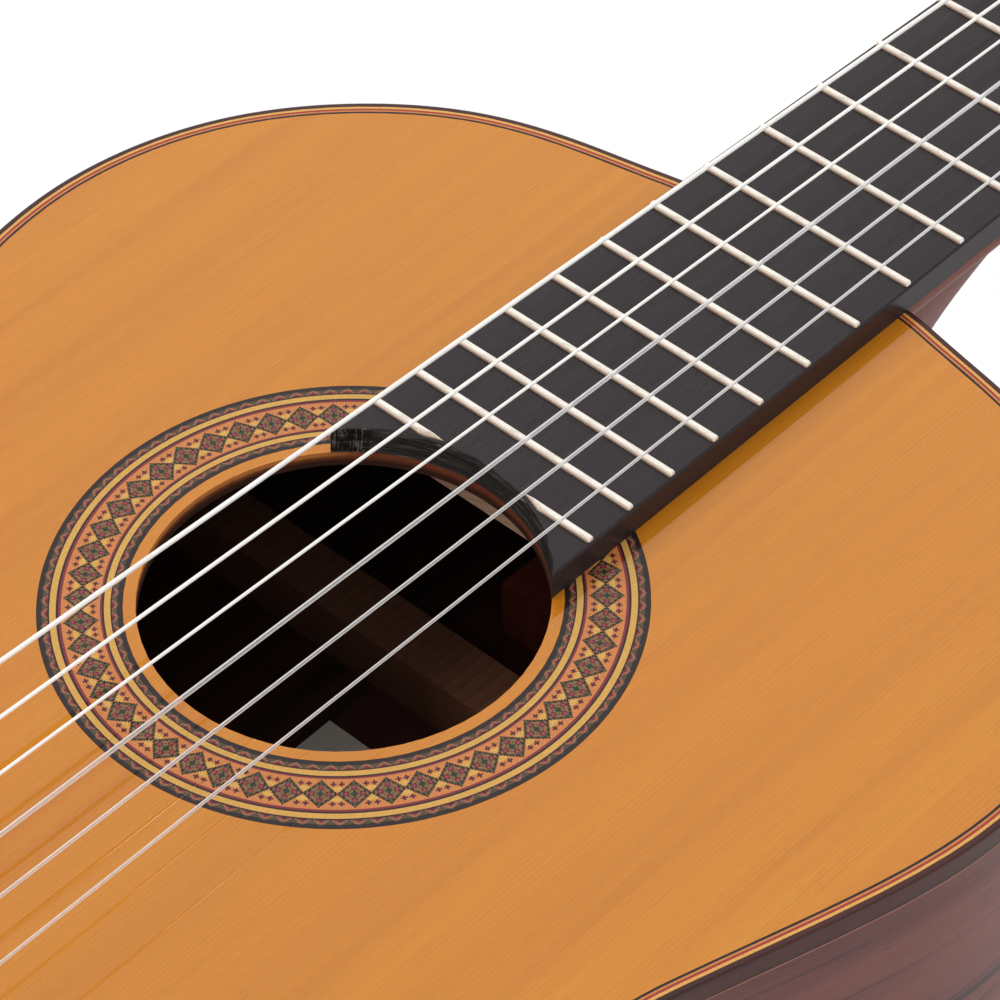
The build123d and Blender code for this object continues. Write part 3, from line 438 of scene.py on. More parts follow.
def dyed_wood(name, colour, variation=0.12):
    """Thin dyed veneer under lacquer."""
    look = Look(name)
    fibre = look.spots(2.0, detail=3.0, rough=0.6)
    cloud = look.spots(0.25, detail=2.0, rough=0.5)
    light = tuple(min(1.0, part * (1 + variation)) for part in colour)
    base = look.ramp(fibre, (0.3, shade(colour, 1 - variation * 2.2)), (0.5, colour), (0.7, light))
    base = look.tint(base, cloud, span=(0.35, 0.7), amount=0.35, colour=shade(colour, 0.8))
    look.surface(Base_Color=base, Roughness=0.5, Specular_IOR_Level=0.1,
                 Normal=look.bump(fibre, depth_mm=0.006), Coat_Weight=0.45,
                 Coat_Roughness=0.035, Coat_IOR=1.56, Coat_Normal=look.lacquer())


def bone():
    look = Look("bone")
    x, y, z = look.axes()
    cloud = look.grain(x * 0.25, y * 1.5, z * 1.5, detail=3.0, rough=0.5)
    pits = look.grain(x * 2.0, y * 6.0, z * 6.0, detail=2.0, rough=0.6)
    base = look.ramp(cloud, (0.3, (0.70, 0.64, 0.50)), (0.6, (0.80, 0.76, 0.64)),
                     (0.8, (0.84, 0.81, 0.71)))
    base = look.tint(base, pits, span=(0.66, 0.74), amount=0.5, colour=(0.55, 0.47, 0.34))
    look.surface(Base_Color=base, Roughness=0.3, Subsurface_Weight=0.15,
                 Subsurface_Radius=(0.002, 0.0015, 0.001), Subsurface_Scale=0.5,
                 Normal=look.bump(pits, depth_mm=-0.01), Coat_Weight=0.4, Coat_Roughness=0.15)


def metal(name, colour, rough, scratch, tarnish):
    """scratch: noise cycles per mm along each axis.  tarnish: strength of the dark clouds."""
    look = Look(name)
    scratches = look.spots(scratch, detail=3.0, rough=0.65)
    cloud = look.spots(0.22, detail=3.0, rough=0.6)
    dark = shade(colour, 0.55)
    base = look.tint(colour, cloud, span=(0.42, 0.8), amount=tarnish, colour=dark)
    base = look.tint(base, scratches, span=(0.55, 0.8), amount=0.25, colour=dark)
    roughness = (look.fade(scratches, span=(0.3, 0.8), to=(rough * 0.8, rough * 1.5))
                 + look.fade(cloud, span=(0.4, 0.8), to=(0.0, 0.12)))
    look.surface(Base_Color=base, Metallic=1.0, Roughness=roughness,
                 Normal=look.bump(scratches, depth_mm=0.006))


def fret_metal():
    """Polished wire, finely scratched along its length, with a painted peach reflection of the soundboard on the side
    that faces -z.
    """
    look = Look("nickel_silver")
    x, y, z = look.axes()
    scratches = look.grain(x * 0.16, y * 3.5, z * 3.5, detail=3.0, rough=0.6)
    cloud = look.grain(x * 0.20, y * 0.4, z * 0.4, detail=3.0, rough=0.6)
    normal_z = look.axes(look.make("ShaderNodeNewGeometry", output="Normal"))[2]
    # painted reflection: the side facing -z takes on the soundboard's peach colour
    soundboard_reflection = look.fade(normal_z, span=(-0.95, -0.25), to=(1.0, 0.0))
    base = look.ramp(scratches, (0.3, (0.80, 0.74, 0.66)), (0.46, (0.93, 0.88, 0.80)),
                     (0.7, (0.99, 0.96, 0.90)))
    base = look.tint(base, cloud, span=(0.54, 0.75), amount=0.45, colour=(0.66, 0.59, 0.51))
    base = look.mix(soundboard_reflection * 0.75, base, (0.93, 0.66, 0.46))
    look.surface(Base_Color=base, Metallic=0.45,
                 Roughness=look.fade(scratches, span=(0.3, 0.8), to=(0.20, 0.34)),
                 Normal=look.bump(scratches, depth_mm=0.02))


def pearl():
    look = Look("pearl_button")
    cells = look.make("ShaderNodeTexVoronoi", {
        "Vector": look.scaled(look.place, (0.30, 0.30, 0.30)), "Scale": 1.0, "Randomness": 1.0},
        output="Color", feature="SMOOTH_F1")
    swirled = look.mix(0.35, look.scaled(look.place, (0.25, 0.25, 0.25)), cells)
    swirl = look.noise(swirled, detail=4.0, rough=0.6, warp=1.2)
    base = look.ramp(swirl, (0.30, (0.60, 0.59, 0.56)), (0.48, (0.80, 0.80, 0.78)),
                     (0.60, (0.72, 0.76, 0.77)), (0.74, (0.88, 0.86, 0.82)))
    look.surface(Base_Color=base, Roughness=look.fade(swirl, span=(0.3, 0.7), to=(0.18, 0.34)),
                 Subsurface_Weight=0.1, Subsurface_Radius=grey(0.002), Sheen_Weight=0.2,
                 Coat_Weight=1.0, Coat_Roughness=0.06, Normal=look.bump(swirl, depth_mm=0.02))


def nylon():
    """Clear thread, with a painted highlight and a faint painted glow along both sides."""
    look = Look("nylon_clear")
    cloud = look.spots((0.8, 0.8, 0.05), detail=2.0, rough=0.5)
    base = look.ramp(cloud, (0.3, (0.90, 0.89, 0.90)), (0.7, (0.97, 0.97, 0.98)))
    clear = look.principled(Base_Color=base, IOR=1.53, Transmission_Weight=0.9,
                            Roughness=look.fade(cloud, span=(0.3, 0.7), to=(0.0, 0.02)))
    facing = look.make("ShaderNodeLayerWeight", {"Blend": 0.5}, output="Facing")
    # painted highlight: the pale shader is mixed in towards the thread's edges
    edge_highlight = look.ramp(facing, (0.0, grey(0.16)), (0.14, grey(0.14)), (0.27, grey(0.62)),
                    (0.75, grey(0.56)), (1.0, grey(0.30)))
    glow = look.ramp(cloud, (0.3, (0.93, 0.93, 0.96)), (0.7, grey(1.0)))
    # pale shader with a faint painted glow from its emission
    pale = look.principled(Base_Color=glow, Emission_Color=glow, Emission_Strength=0.03,
                           Roughness=0.4)
    look.finish(look.mix_shaders(edge_highlight, clear, pale))


def wound():
    """Fine silver-plated winding, its ridges in the bump, with a faint painted glow."""
    look = Look("silver_wound")
    pitch = 0.16
    ridges = look.math("SINE", look.axes()[2] * (2 * math.pi / pitch))
    cloud = look.spots((1.0, 1.0, 0.08), detail=3.0, rough=0.6)
    base = look.ramp(cloud, (0.3, (0.90, 0.88, 0.84)), (0.55, (0.97, 0.96, 0.93)),
                     (0.8, (1.0, 0.99, 0.97)))
    # the emission is a painted glow that brightens the winding
    look.surface(Base_Color=base, Metallic=0.1, Specular_IOR_Level=0.8,
                 Roughness=look.fade(cloud, span=(0.3, 0.8), to=(0.25, 0.38)),
                 Normal=look.bump(ridges, depth_mm=0.015),
                 Emission_Color=base, Emission_Strength=0.18)


def paper():
    look = Look("label_paper")
    fibre = look.spots(0.9, detail=4.0, rough=0.7)
    stain = look.spots(0.03, detail=3.0, rough=0.6)
    base = look.ramp(fibre, (0.3, (0.62, 0.58, 0.50)), (0.7, (0.72, 0.69, 0.62)))
    base = look.tint(base, stain, span=(0.45, 0.8), amount=0.3, colour=(0.55, 0.48, 0.36))
    look.surface(Base_Color=base, Roughness=0.9, Normal=look.bump(fibre, depth_mm=0.02))


def plastic(name, colour, rough):
    look = Look(name)
    cloud = look.spots(0.7, detail=3.0, rough=0.6)
    base = look.tint(colour, cloud, span=(0.35, 0.75), amount=0.35, colour=shade(colour, 0.85))
    look.surface(Base_Color=base, Subsurface_Weight=0.08, Subsurface_Radius=grey(0.001),
                 Roughness=look.fade(cloud, span=(0.3, 0.8), to=(rough * 0.8, rough * 1.4)),
                 Normal=look.bump(cloud, depth_mm=0.01))


def hole_wall():
    """Wall of the soundhole, with painted light on its front lip, painted shade at the top under the fingerboard's end,
    and painted shade deeper in towards the inner edge.
    """
    look = Look("cedar_hole_wall")
    x, y, z = look.axes()
    mottle = look.spots((1.4, 0.5, 1.4), detail=3.0, rough=0.6)
    layers = look.grain(x * 0.9, y * 6.0, z * 0.9, detail=3.0, rough=0.6)
    base = look.ramp(mottle, (0.3, (0.260, 0.062, 0.018)), (0.55, (0.380, 0.105, 0.028)),
                     (0.75, (0.440, 0.140, 0.040)))
    base = look.tint(base, layers, span=(0.45, 0.7), amount=0.45, colour=(0.180, 0.040, 0.015))
    # painted light: the front lip is lightened to a bright orange, except at the top
    lit_lip = (look.fade(y, span=(0.9, 1.5), to=(0.85, 0.0))
           * look.fade(z, span=(HOLE_Z + 28.0, HOLE_Z + 34.0), to=(1.0, 0.0)))
    base = look.mix(lit_lip, base, (0.780, 0.290, 0.070))
    # painted shade at the top of the wall, under the fingerboard's end
    base = look.tint(base, z, span=(HOLE_Z + 30.0, HOLE_Z + 37.0), amount=0.72,
                     colour=(0.230, 0.056, 0.028))
    # painted shade deeper into the box, towards the inner edge
    base = look.tint(base, y, span=(1.1, 2.3), amount=0.85, colour=(0.070, 0.020, 0.010))
    look.surface(Base_Color=base, Roughness=0.5, Specular_IOR_Level=0.4,
                 Normal=look.bump(layers, depth_mm=0.06), Coat_Weight=0.35, Coat_Roughness=0.2)


DYED = (
    ("maple_strip", (0.62, 0.42, 0.20)),
    ("dyed_black", (0.018, 0.008, 0.010)),
    ("dyed_red", (0.235, 0.024, 0.034)),
    ("dyed_tan", (0.640, 0.225, 0.060)),
    ("dyed_yellow", (0.700, 0.390, 0.085)),
    ("dyed_wine", (0.082, 0.010, 0.022)),
    ("dyed_green", (0.018, 0.021, 0.012)),
    ("dyed_moss", (0.085, 0.085, 0.026)),
    ("dyed_pink", (0.400, 0.075, 0.095)),
    ("dyed_arc", (0.350, 0.135, 0.062)),
    ("dyed_inner_tan", (0.290, 0.130, 0.050)),
    ("dyed_olive", (0.085, 0.060, 0.030)),
    ("maple_line", (0.38, 0.17, 0.10)),
    ("line_yellow", (0.780, 0.400, 0.090)),
    ("line_red", (0.360, 0.036, 0.022)))


def fill_palette():
    hole_wall()
    cut_ebony()
    bare_wood("doubler_shadowed", light=(0.060, 0.022, 0.012), dark=(0.030, 0.011, 0.007),
              spacing=1.1)
    # inside faces of ribs and back: unlacquered, and darkened by a low lift as painted shade
    rosewood("rosewood_inside_shaded", "side", seed=3.0, coat=0.0, rough=0.7, lift=0.55)
    rosewood("rosewood_back_inside_shaded", seed=12.0, coat=0.0, rough=0.7, lift=0.35)
    cedar()
    bare_wood("cedar_bare", light=(0.46, 0.215, 0.095), dark=(0.25, 0.10, 0.045), spacing=1.2)
    bare_wood("harmonic_bare", light=(0.72, 0.47, 0.33), dark=(0.52, 0.30, 0.19), spacing=1.3,
              seed=11.0)
    bare_wood("spruce_bare", light=(0.60, 0.40, 0.22), dark=(0.40, 0.22, 0.10), spacing=1.4,
              seed=3.0)
    bare_wood("lining_bare", light=(0.44, 0.25, 0.13), dark=(0.26, 0.13, 0.07), spacing=1.0,
              seed=5.0)
    # back bars inside the box, with painted shade towards the bass side
    bare_wood("bar_bare", light=(0.70, 0.300, 0.165), dark=(0.40, 0.155, 0.088), spacing=1.0,
              seed=7.0, shaded_bass_side=True)
    rosewood("rosewood_ribs", "side", coat=0.22, lift=1.15, streak=0.95)
    rosewood("rosewood_back", seed=4.0, coat=0.7)
    rosewood("rosewood_binding", "side", seed=8.0, coat=0.10, lift=0.42, streak=0.51)
    rosewood("rosewood_bridge", "x", seed=2.0, coat=0.0, rough=0.42, lift=0.85)
    rosewood("rosewood_veneer", seed=6.0, lift=0.9)
    mahogany()
    ebony()
    bone()
    fret_metal()
    metal("brass_gilt", (0.88, 0.62, 0.26), rough=0.20, scratch=(3.0, 0.25, 0.25), tarnish=0.24)
    metal("steel_plated", (0.62, 0.60, 0.57), rough=0.25, scratch=(2.0, 2.0, 2.0), tarnish=0.30)
    pearl()
    nylon()
    plastic("nylon_coiled", (0.80, 0.80, 0.80), rough=0.18)
    wound()
    paper()
    plastic("roller_ivory", (0.74, 0.70, 0.60), rough=0.3)
    for name, colour in DYED:
        dyed_wood(name, colour)


fill_palette()


# ------------------------------------------------------------------ finishes of the CAD pieces
def is_nylon(number):
    return number < 4


FINISH = {
    "soundboard": "cedar_lacquered", "soundhole_doubler": "doubler_shadowed",
    "top_binding": "rosewood_binding", "back_binding": "rosewood_binding",
    "side_bass": "rosewood_ribs", "side_treble": "rosewood_ribs",
    "end_graft": "rosewood_binding", "back_plate": "rosewood_back",
    "back_center_strip": "maple_strip", "linings": "lining_bare",
    "neck": "mahogany_neck", "headstock": "mahogany_neck",
    "head_veneer": "rosewood_veneer", "heel_cap": "rosewood_veneer",
    "tail_block": "spruce_bare", "fan_struts": "spruce_bare",
    "harmonic_bars": "harmonic_bare", "back_bars": "bar_bare", "label": "label_paper",
    "fingerboard": "ebony_satin", "frets": "nickel_silver", "nut": "bone", "saddle": "bone",
    "bridge": "rosewood_bridge", "tie_block_strips": "bone",
    "tuner_plate_bass": "brass_gilt", "tuner_plate_treble": "brass_gilt",
    "plate_screws": "brass_gilt", "rosette": "dyed_tan", "top_purfling": "dyed_yellow",
}
for number in range(1, 7):
    FINISH[f"string_{number}"] = "nylon_clear" if is_nylon(number) else "silver_wound"
    FINISH[f"string_roller_{number}"] = "roller_ivory"
    FINISH[f"worm_wheel_{number}"] = "brass_gilt"
    FINISH[f"worm_shaft_{number}"] = "steel_plated"
    FINISH[f"tuning_button_{number}"] = "pearl_button"


def finish_cad():
    for name, node in nodes.items():
        node.data.materials.clear()
        node.data.materials.append(PALETTE[FINISH[name]])
        for face in node.data.polygons:
            face.material_index = 0


def finish_soundboard():
    """Soundhole wall in slot 1, bare underside in slot 2."""
    mesh = nodes["soundboard"].data
    mesh.materials.append(PALETTE["cedar_hole_wall"])
    mesh.materials.append(PALETTE["cedar_bare"])
    for face in mesh.polygons:
        centre = face.center / MM
        from_wall = abs(math.hypot(centre.x, centre.z - HOLE_Z) - HOLE_R)
        if from_wall < 0.4 and abs(face.normal.y) < 0.5:
            face.material_index = 1
        elif face.normal.y > 0.5 and centre.y > 2.0:
            face.material_index = 2


def finish_insides():
    """Unlacquered wood on the rib and back faces that look into the box, darkened as painted shade."""
    nearest = kdtree.KDTree(len(EDGE))
    for i, (x, z, _, _) in enumerate(EDGE):
        nearest.insert((x, 0.0, z), i)
    nearest.balance()
    for name in ("side_bass", "side_treble"):
        mesh = nodes[name].data
        mesh.materials.append(PALETTE["rosewood_inside_shaded"])
        for face in mesh.polygons:
            centre = face.center / MM
            _, i, _ = nearest.find((centre.x, 0.0, centre.z))
            _, _, nx, nz = EDGE[i]
            if face.normal.x * nx + face.normal.z * nz > 0.6:
                face.material_index = 1
    mesh = nodes["back_plate"].data
    mesh.materials.append(PALETTE["rosewood_back_inside_shaded"])
    for face in mesh.polygons:
        if face.normal.y < -0.6:
            face.material_index = 1


finish_cad()
finish_soundboard()
finish_insides()


# ------------------------------------------------------------------ mesh helpers
def add_piece(name, verts, faces, looks, slot, face_looks=None, body="guitar", smooth=False,
              stands_for=()):
    """New piece from points in millimetres; looks are names in the palette."""
    mesh = bpy.data.meshes.new(name)
    mesh.from_pydata([(v[0] * MM, v[1] * MM, v[2] * MM) for v in verts], [], faces)
    for look in looks:
        mesh.materials.append(PALETTE[look])
    if face_looks:
        mesh.polygons.foreach_set("material_index", face_looks)
    if smooth:
        mesh.polygons.foreach_set("use_smooth", [True] * len(mesh.polygons))
    mesh.update()
    piece = bpy.data.objects.new(name, mesh)
    bpy.context.scene.collection.objects.link(piece)
    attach(piece, body)
    if stands_for:
        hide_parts(*stands_for)
    return piece


class Shells:
    """Gathers several closed shells into one mesh."""

    def __init__(self):
        self.verts = []
        self.faces = []
        self.face_looks = []

    def add(self, verts, faces, looks):
        """looks: one slot number for the whole shell, or one for each face."""
        first = len(self.verts)
        self.verts += verts
        self.faces += [tuple(i + first for i in face) for face in faces]
        self.face_looks += looks if isinstance(looks, list) else [looks] * len(faces)

    def piece(self, name, looks, slot, **options):
        return add_piece(name, self.verts, self.faces, looks, slot, self.face_looks, **options)


def skin(sections):
    """Closed shell through equal loops of points, capped at both ends."""
    size = len(sections[0])
    faces = []
    for i in range(len(sections) - 1):
        for j in range(size):
            k = (j + 1) % size
            faces.append((i * size + j, i * size + k, (i + 1) * size + k, (i + 1) * size + j))
    last = (len(sections) - 1) * size
    faces.append(tuple(range(size))[::-1])
    faces.append(tuple(range(last, last + size)))
    return [point for section in sections for point in section], faces


def tube(points, radius, sides):
    """Round tube along points, its rings carried along without twist."""
    points = [Vector(p) for p in points]
    last = len(points) - 1
    tangents = [(points[min(i + 1, last)] - points[max(i - 1, 0)]).normalized()
                for i in range(last + 1)]
    reference = Vector((0, 0, 1)) if abs(tangents[0].z) < 0.9 else Vector((1, 0, 0))
    across = tangents[0].cross(reference).normalized()
    rings = []
    for point, tangent in zip(points, tangents):
        across = (across - tangent * across.dot(tangent)).normalized()
        other = tangent.cross(across)
        angles = [2 * math.pi * k / sides for k in range(sides)]
        rings.append([point + across * (radius * math.cos(a)) + other * (radius * math.sin(a))
                      for a in angles])
    return skin(rings)


def closed_ring(curve_in, curve_out, depth, cells, look_of, wall):
    """Closed band between two closed curves [(x, z)...] of equal count, from y = 0 back to depth.

    Its front is split into cells across; look_of(i, j) is the slot of cell i along and j across,
    and wall is the slot of the other faces.
    """
    count = len(curve_in)
    verts, faces, looks = [], [], []
    for j in range(cells + 1):
        f = j / cells
        for (x0, z0), (x1, z1) in zip(curve_in, curve_out):
            verts.append((x0 + (x1 - x0) * f, 0.0, z0 + (z1 - z0) * f))
    verts += [(x, depth, z) for x, z in curve_in + curve_out]
    front_out = cells * count
    back_in, back_out = (cells + 1) * count, (cells + 2) * count
    for j in range(cells):
        for i in range(count):
            k = (i + 1) % count
            faces.append((j * count + i, (j + 1) * count + i, (j + 1) * count + k, j * count + k))
            looks.append(look_of(i, j))
    for i in range(count):
        k = (i + 1) % count
        faces.append((i, k, back_in + k, back_in + i))
        faces.append((front_out + i, back_out + i, back_out + k, front_out + k))
        faces.append((back_in + i, back_in + k, back_out + k, back_out + i))
        looks += [wall] * 3
    return verts, faces, looks


def rounded_path(points, reach):
    """Path through points with quadratic bends that start `reach` before each corner."""
    path = [points[0]]
    for a, b, c in zip(points, points[1:], points[2:]):
        cut = min(reach, (a - b).length * 0.45, (c - b).length * 0.45)
        start, end = b + (a - b).normalized() * cut, b + (c - b).normalized() * cut
        for k in range(6):
            t = k / 5
            path.append(start * (1 - t) ** 2 + b * (2 * t * (1 - t)) + end * t * t)
    path.append(points[-1])
    return path


# ------------------------------------------------------------------ rosette
ROSETTE_DEPTH = 0.95
ROSETTE_R = 64.9
ROSETTE_LOOKS = ("dyed_black", "dyed_yellow", "dyed_red", "dyed_tan", "dyed_wine", "dyed_green",
                 "dyed_moss", "dyed_pink", "dyed_arc", "dyed_inner_tan", "dyed_olive")
BLACK, YELLOW, RED, TAN, WINE, GREEN, MOSS, PINK, ARC, INNER_TAN, OLIVE = range(11)
TILE = 16                       # mosaic cells in one repeat along the ring

# one repeat of the scalloped border, seen in the outer one; first row nearest the hole
SCALLOP = ("ARWWWRRAOO",
           "OAARRAAOOO",
           "OOAAAAOOOO",
           "KKKOOKKKKK")
SCALLOP_LOOKS = {"K": BLACK, "R": RED, "W": WINE, "A": ARC, "O": OLIVE}


def mosaic(i, j):
    """Slot of a stick in the main band: a diamond per tile, with motifs between the diamonds."""
    column = i % TILE
    dx, dy = abs(column - 8), abs(j - 8)
    far = dx + dy
    if far == 8:
        return GREEN if column % 2 else BLACK
    if far == 7:
        return BLACK if column % 2 else MOSS
    if far > 8:
        from_seam = min(column, TILE - column)
        if abs(from_seam - 2) + abs(dy - 6) <= 1:
            return WINE
        return YELLOW if from_seam <= 2 and 2 <= dy <= 4 else TAN
    if far == 6 and dy >= 5:
        return MOSS
    for flower_x, flower_y in ((0, 4), (4, 0)):
        beside = abs(dx - flower_x)
        away = beside + abs(dy - flower_y)
        if away == 0:
            return PINK
        if away == 1:
            return RED
        if away == 2 and beside == 1:
            return WINE
    if (dx, dy) in ((0, 0), (1, 0), (0, 1), (0, 2)):
        return GREEN
    if (dx, dy) in ((2, 2), (1, 1), (2, 0)):
        return MOSS
    return INNER_TAN


def scallop_out(i, j):
    return SCALLOP_LOOKS[SCALLOP[j][i % 10]]


def scallop_in(i, j):
    return scallop_out(i, 3 - j)


def plain(look):
    return 512, 1, lambda i, j: look, look


def build_rosette():
    # inner radius, then (segments, cells across, slot of a cell, slot of the walls)
    bands = (
        (46.7, plain(BLACK)), (47.5, (840, 4, scallop_in, BLACK)), (48.95, plain(BLACK)),
        (49.28, plain(YELLOW)), (50.63, plain(BLACK)), (51.05, plain(RED)), (51.47, plain(TAN)),
        (51.8, (800, 17, mosaic, TAN)), (59.3, plain(TAN)), (59.72, plain(RED)),
        (60.28, plain(BLACK)), (60.77, plain(YELLOW)), (62.15, plain(BLACK)),
        (62.53, (1040, 4, scallop_out, BLACK)), (64.07, plain(BLACK)))
    outer_radii = [radius for radius, _ in bands[1:]] + [ROSETTE_R]
    shells = Shells()
    for (inner, (segments, cells, look_of, wall)), outer in zip(bands, outer_radii):
        angles = [2 * math.pi * k / segments for k in range(segments)]
        curves = [[(r * math.sin(a), HOLE_Z + r * math.cos(a)) for a in angles]
                  for r in (inner, outer)]
        shells.add(*closed_ring(*curves, ROSETTE_DEPTH, cells, look_of, wall))
    shells.piece("rosette_marquetry", ROSETTE_LOOKS, "inlay", stands_for=("rosette",))


build_rosette()


# ------------------------------------------------------------------ edge lines
LINE_INSETS = (1.5, 2.25, 2.85, 3.3, 3.9)       # borders of the four lines, in from the outline
LINE_DEPTH = 1.5
RIB_LINE_Y = (5.55, 5.88)
RIB_LINE_X = (-0.012, 1.5)                      # from just proud of the rib to inside it
HEEL_HALF = 26.2


def build_top_lines():
    shells = Shells()
    curves = [[(x + nx * inset, z + nz * inset) for x, z, nx, nz in EDGE] for inset in LINE_INSETS]
    for slot, (outer, inner) in enumerate(zip(curves, curves[1:])):
        shells.add(*closed_ring(outer, inner, LINE_DEPTH, 1, lambda i, j: slot, slot))
    shells.piece("edge_lines", ("line_yellow", "line_red", "dyed_tan", "dyed_black"),
                 "edge_lines", stands_for=("top_purfling",))


def build_rib_line():
    """Light line let into the rib under the binding, open where the heel stands."""
    kept = [i for i, (x, z, _, _) in enumerate(EDGE) if not (abs(x) < HEEL_HALF and z > 400)]
    start = next(k for k in range(1, len(kept)) if kept[k] - kept[k - 1] > 1)
    (y0, y1), (proud, inside) = RIB_LINE_Y, RIB_LINE_X
    corners = ((proud, y0), (proud, y1), (inside, y1), (inside, y0))
    sections = []
    for i in kept[start:] + kept[:start]:
        x, z, nx, nz = EDGE[i]
        sections.append([(x + nx * inset, y, z + nz * inset) for inset, y in corners])
    verts, faces = skin(sections)
    shells = Shells()
    # these sections run the other way round, so every face is turned
    shells.add(verts, [(a, d, c, b) for a, b, c, d in faces], 0)
    shells.piece("rib_line", ("maple_line",), "edge_lines")


build_top_lines()
build_rib_line()


# ------------------------------------------------------------------ fingerboard
CUT_R = 43.95                   # hand-cut end, round the soundhole's centre
END_R = 49.0                    # where the end piece meets the slab
END_HALF = board_half(375.0)
CHAMFER = 0.5
EDGE_INSETS = (0.0, 0.25, 0.5, 0.9, 1.4)
WALL_STEPS = 22
SLAB_ROWS = 60


def board_columns(count):
    """Places across the board, -1 to 1, close together at its chamfered edges."""
    edge = [1.0 - inset / END_HALF for inset in EDGE_INSETS]
    last = edge[-1]
    middle = [-last + 2 * last * k / count for k in range(1, count)]
    return [-column for column in edge] + middle + edge[::-1]


def z_on_circle(column, radius):
    """Height at which a column meets a circle round the soundhole's centre."""
    z = HOLE_Z + radius
    for _ in range(30):
        x = column * board_half(z)
        z = HOLE_Z + math.sqrt(max(radius * radius - x * x, 0.0))
    return z


def board_y(column, z):
    inset = board_half(z) * (1 - abs(column))
    return -BOARD_T + max(0.0, CHAMFER - inset)


def wavy(x, seed):
    """Smooth repeatable roughness, about -1 to 1, from (rate, height) waves."""
    waves = ((0.37, 0.5), (0.83, 0.3), (1.9, 0.2), (4.1, 0.12), (8.7, 0.06))
    return sum(
        height * math.sin(x * rate + seed * (k + 1.7)
                          + 1.3 * math.sin(x * rate * 0.61 + seed * 2.3 + k))
        for k, (rate, height) in enumerate(waves))


def hump(x, centre, width):
    return math.exp(-((x - centre) / width) ** 2)


def cut_section(x):
    """Loop of (radius, height) through the end piece at x; height is 0 to 1 of the thickness."""
    along = x + 0.4 * math.sin(x * 0.2)
    chip = (0.35 + 0.28 * wavy(along * 1.1, 2.0)
            + 0.5 * hump(abs(x), 24.0, 3.5) * (0.6 + 0.5 * wavy(along * 3.0, 5.0)))
    chip = max(0.12, chip)
    loop = [(END_R, 0.0), (END_R, 1.0), (END_R - 1.2, 1.0), (END_R - 2.4, 1.0),
            (CUT_R + chip + 0.5, 1.0), (CUT_R + chip, 1.0),
            (CUT_R + chip * 0.35, 1 - 0.09 * min(1.0, chip * 1.6))]
    for k in range(1, WALL_STEPS):
        f = 1 - k / WALL_STEPS                  # 1 at the top edge, 0 at the soundboard
        height = f * 0.93
        scrape = (0.16 * wavy(height * 16.0 + 0.05 * x + 1.2 * math.sin(x * 0.11), 1.0)
                  + 0.10 * wavy(height * 31.0 + x * 0.16, 4.0))
        file_marks = (0.30 * hump(x, -30.5, 3.2) * max(0.0, math.sin(x * 8.0))
                      * (0.35 + 0.65 * (1 - f)))
        hollow = 0.35 * math.sin(math.pi * f) * (0.5 + 0.5 * wavy(x * 0.5, 7.0))
        loop.append((CUT_R - 0.10 + 0.30 * f + scrape - file_marks + hollow, height))
    loop.append((CUT_R - 0.05, 0.0))
    return loop


def build_cut_end():
    sections = []
    for column in board_columns(220):
        section = []
        for radius, height in cut_section(column * END_HALF):
            z = z_on_circle(column, radius)
            y = -min(height * BOARD_T, -board_y(column, z))
            section.append((column * board_half(z), y, z))
        sections.append(section)
    verts, faces = skin(sections)
    size = len(sections[0])
    # the first five faces of each strip are the joint and the top, the rest the cut wall
    looks = [0 if k < 5 else 1 for k in range(size)] * (len(sections) - 1) + [0, 0]
    add_piece("fingerboard_cut_end", verts, faces, ("ebony_satin", "ebony_cut_end"), "ebony", looks)


def build_slab():
    """The rest of the fingerboard, up to the nut."""
    columns = board_columns(40)
    count = len(columns)
    top = []
    for row in range(SLAB_ROWS + 1):
        for column in columns:
            start = z_on_circle(column, END_R)
            z = start + (NUT_Z - start) * (row / SLAB_ROWS)
            top.append((column * board_half(z), board_y(column, z), z))
    base = len(top)
    faces = []
    for row in range(SLAB_ROWS):
        for i in range(count - 1):
            a = row * count + i
            b = a + count
            faces.append((a, a + 1, b + 1, b))
            faces.append((base + a, base + b, base + b + 1, base + a + 1))
        a = row * count
        b = a + count - 1
        faces.append((a, a + count, base + a + count, base + a))
        faces.append((b, base + b, base + b + count, b + count))
    for i in range(count - 1):
        a = SLAB_ROWS * count + i
        faces.append((i, base + i, base + i + 1, i + 1))
        faces.append((a, a + 1, base + a + 1, base + a))
    add_piece("fingerboard_slab", top + [(x, 0.0, z) for x, _, z in top], faces,
              ("ebony_satin",), "ebony", stands_for=("fingerboard",))


build_cut_end()
build_slab()


# ------------------------------------------------------------------ frets
FRETS = 19
FRET_HALF, FRET_H = 0.98, 1.0
FRET_STEPS = 12
FRET_INSET = 0.5                # fret ends, in from the board's edge
FRET_CUT_R = 45.0               # cut ends of the last fret, round the soundhole's centre
SKIRT_Y, SKIRT_HALF = -6.2, 0.22
END_LENGTH = 0.55               # length over which a dressed end rounds off
END_STEPS = (0.0, 0.06, 0.16, 0.32, 0.55, 0.8, 1.0)
CUT_SLOPE = 2.2                 # length over which a cut end slopes down


def crown_profile():
    """Crown as (place across the wire, height)."""
    profile = []
    for k in range(FRET_STEPS + 1):
        angle = math.pi * k / FRET_STEPS
        cosine, sine = math.cos(angle), math.sin(angle)
        across = math.copysign(abs(cosine) ** 0.62, cosine)
        profile.append((FRET_HALF * across, FRET_H * abs(sine) ** 0.78))
    return profile


def cut_x(z):
    return math.sqrt(FRET_CUT_R ** 2 - (z - HOLE_Z) ** 2)


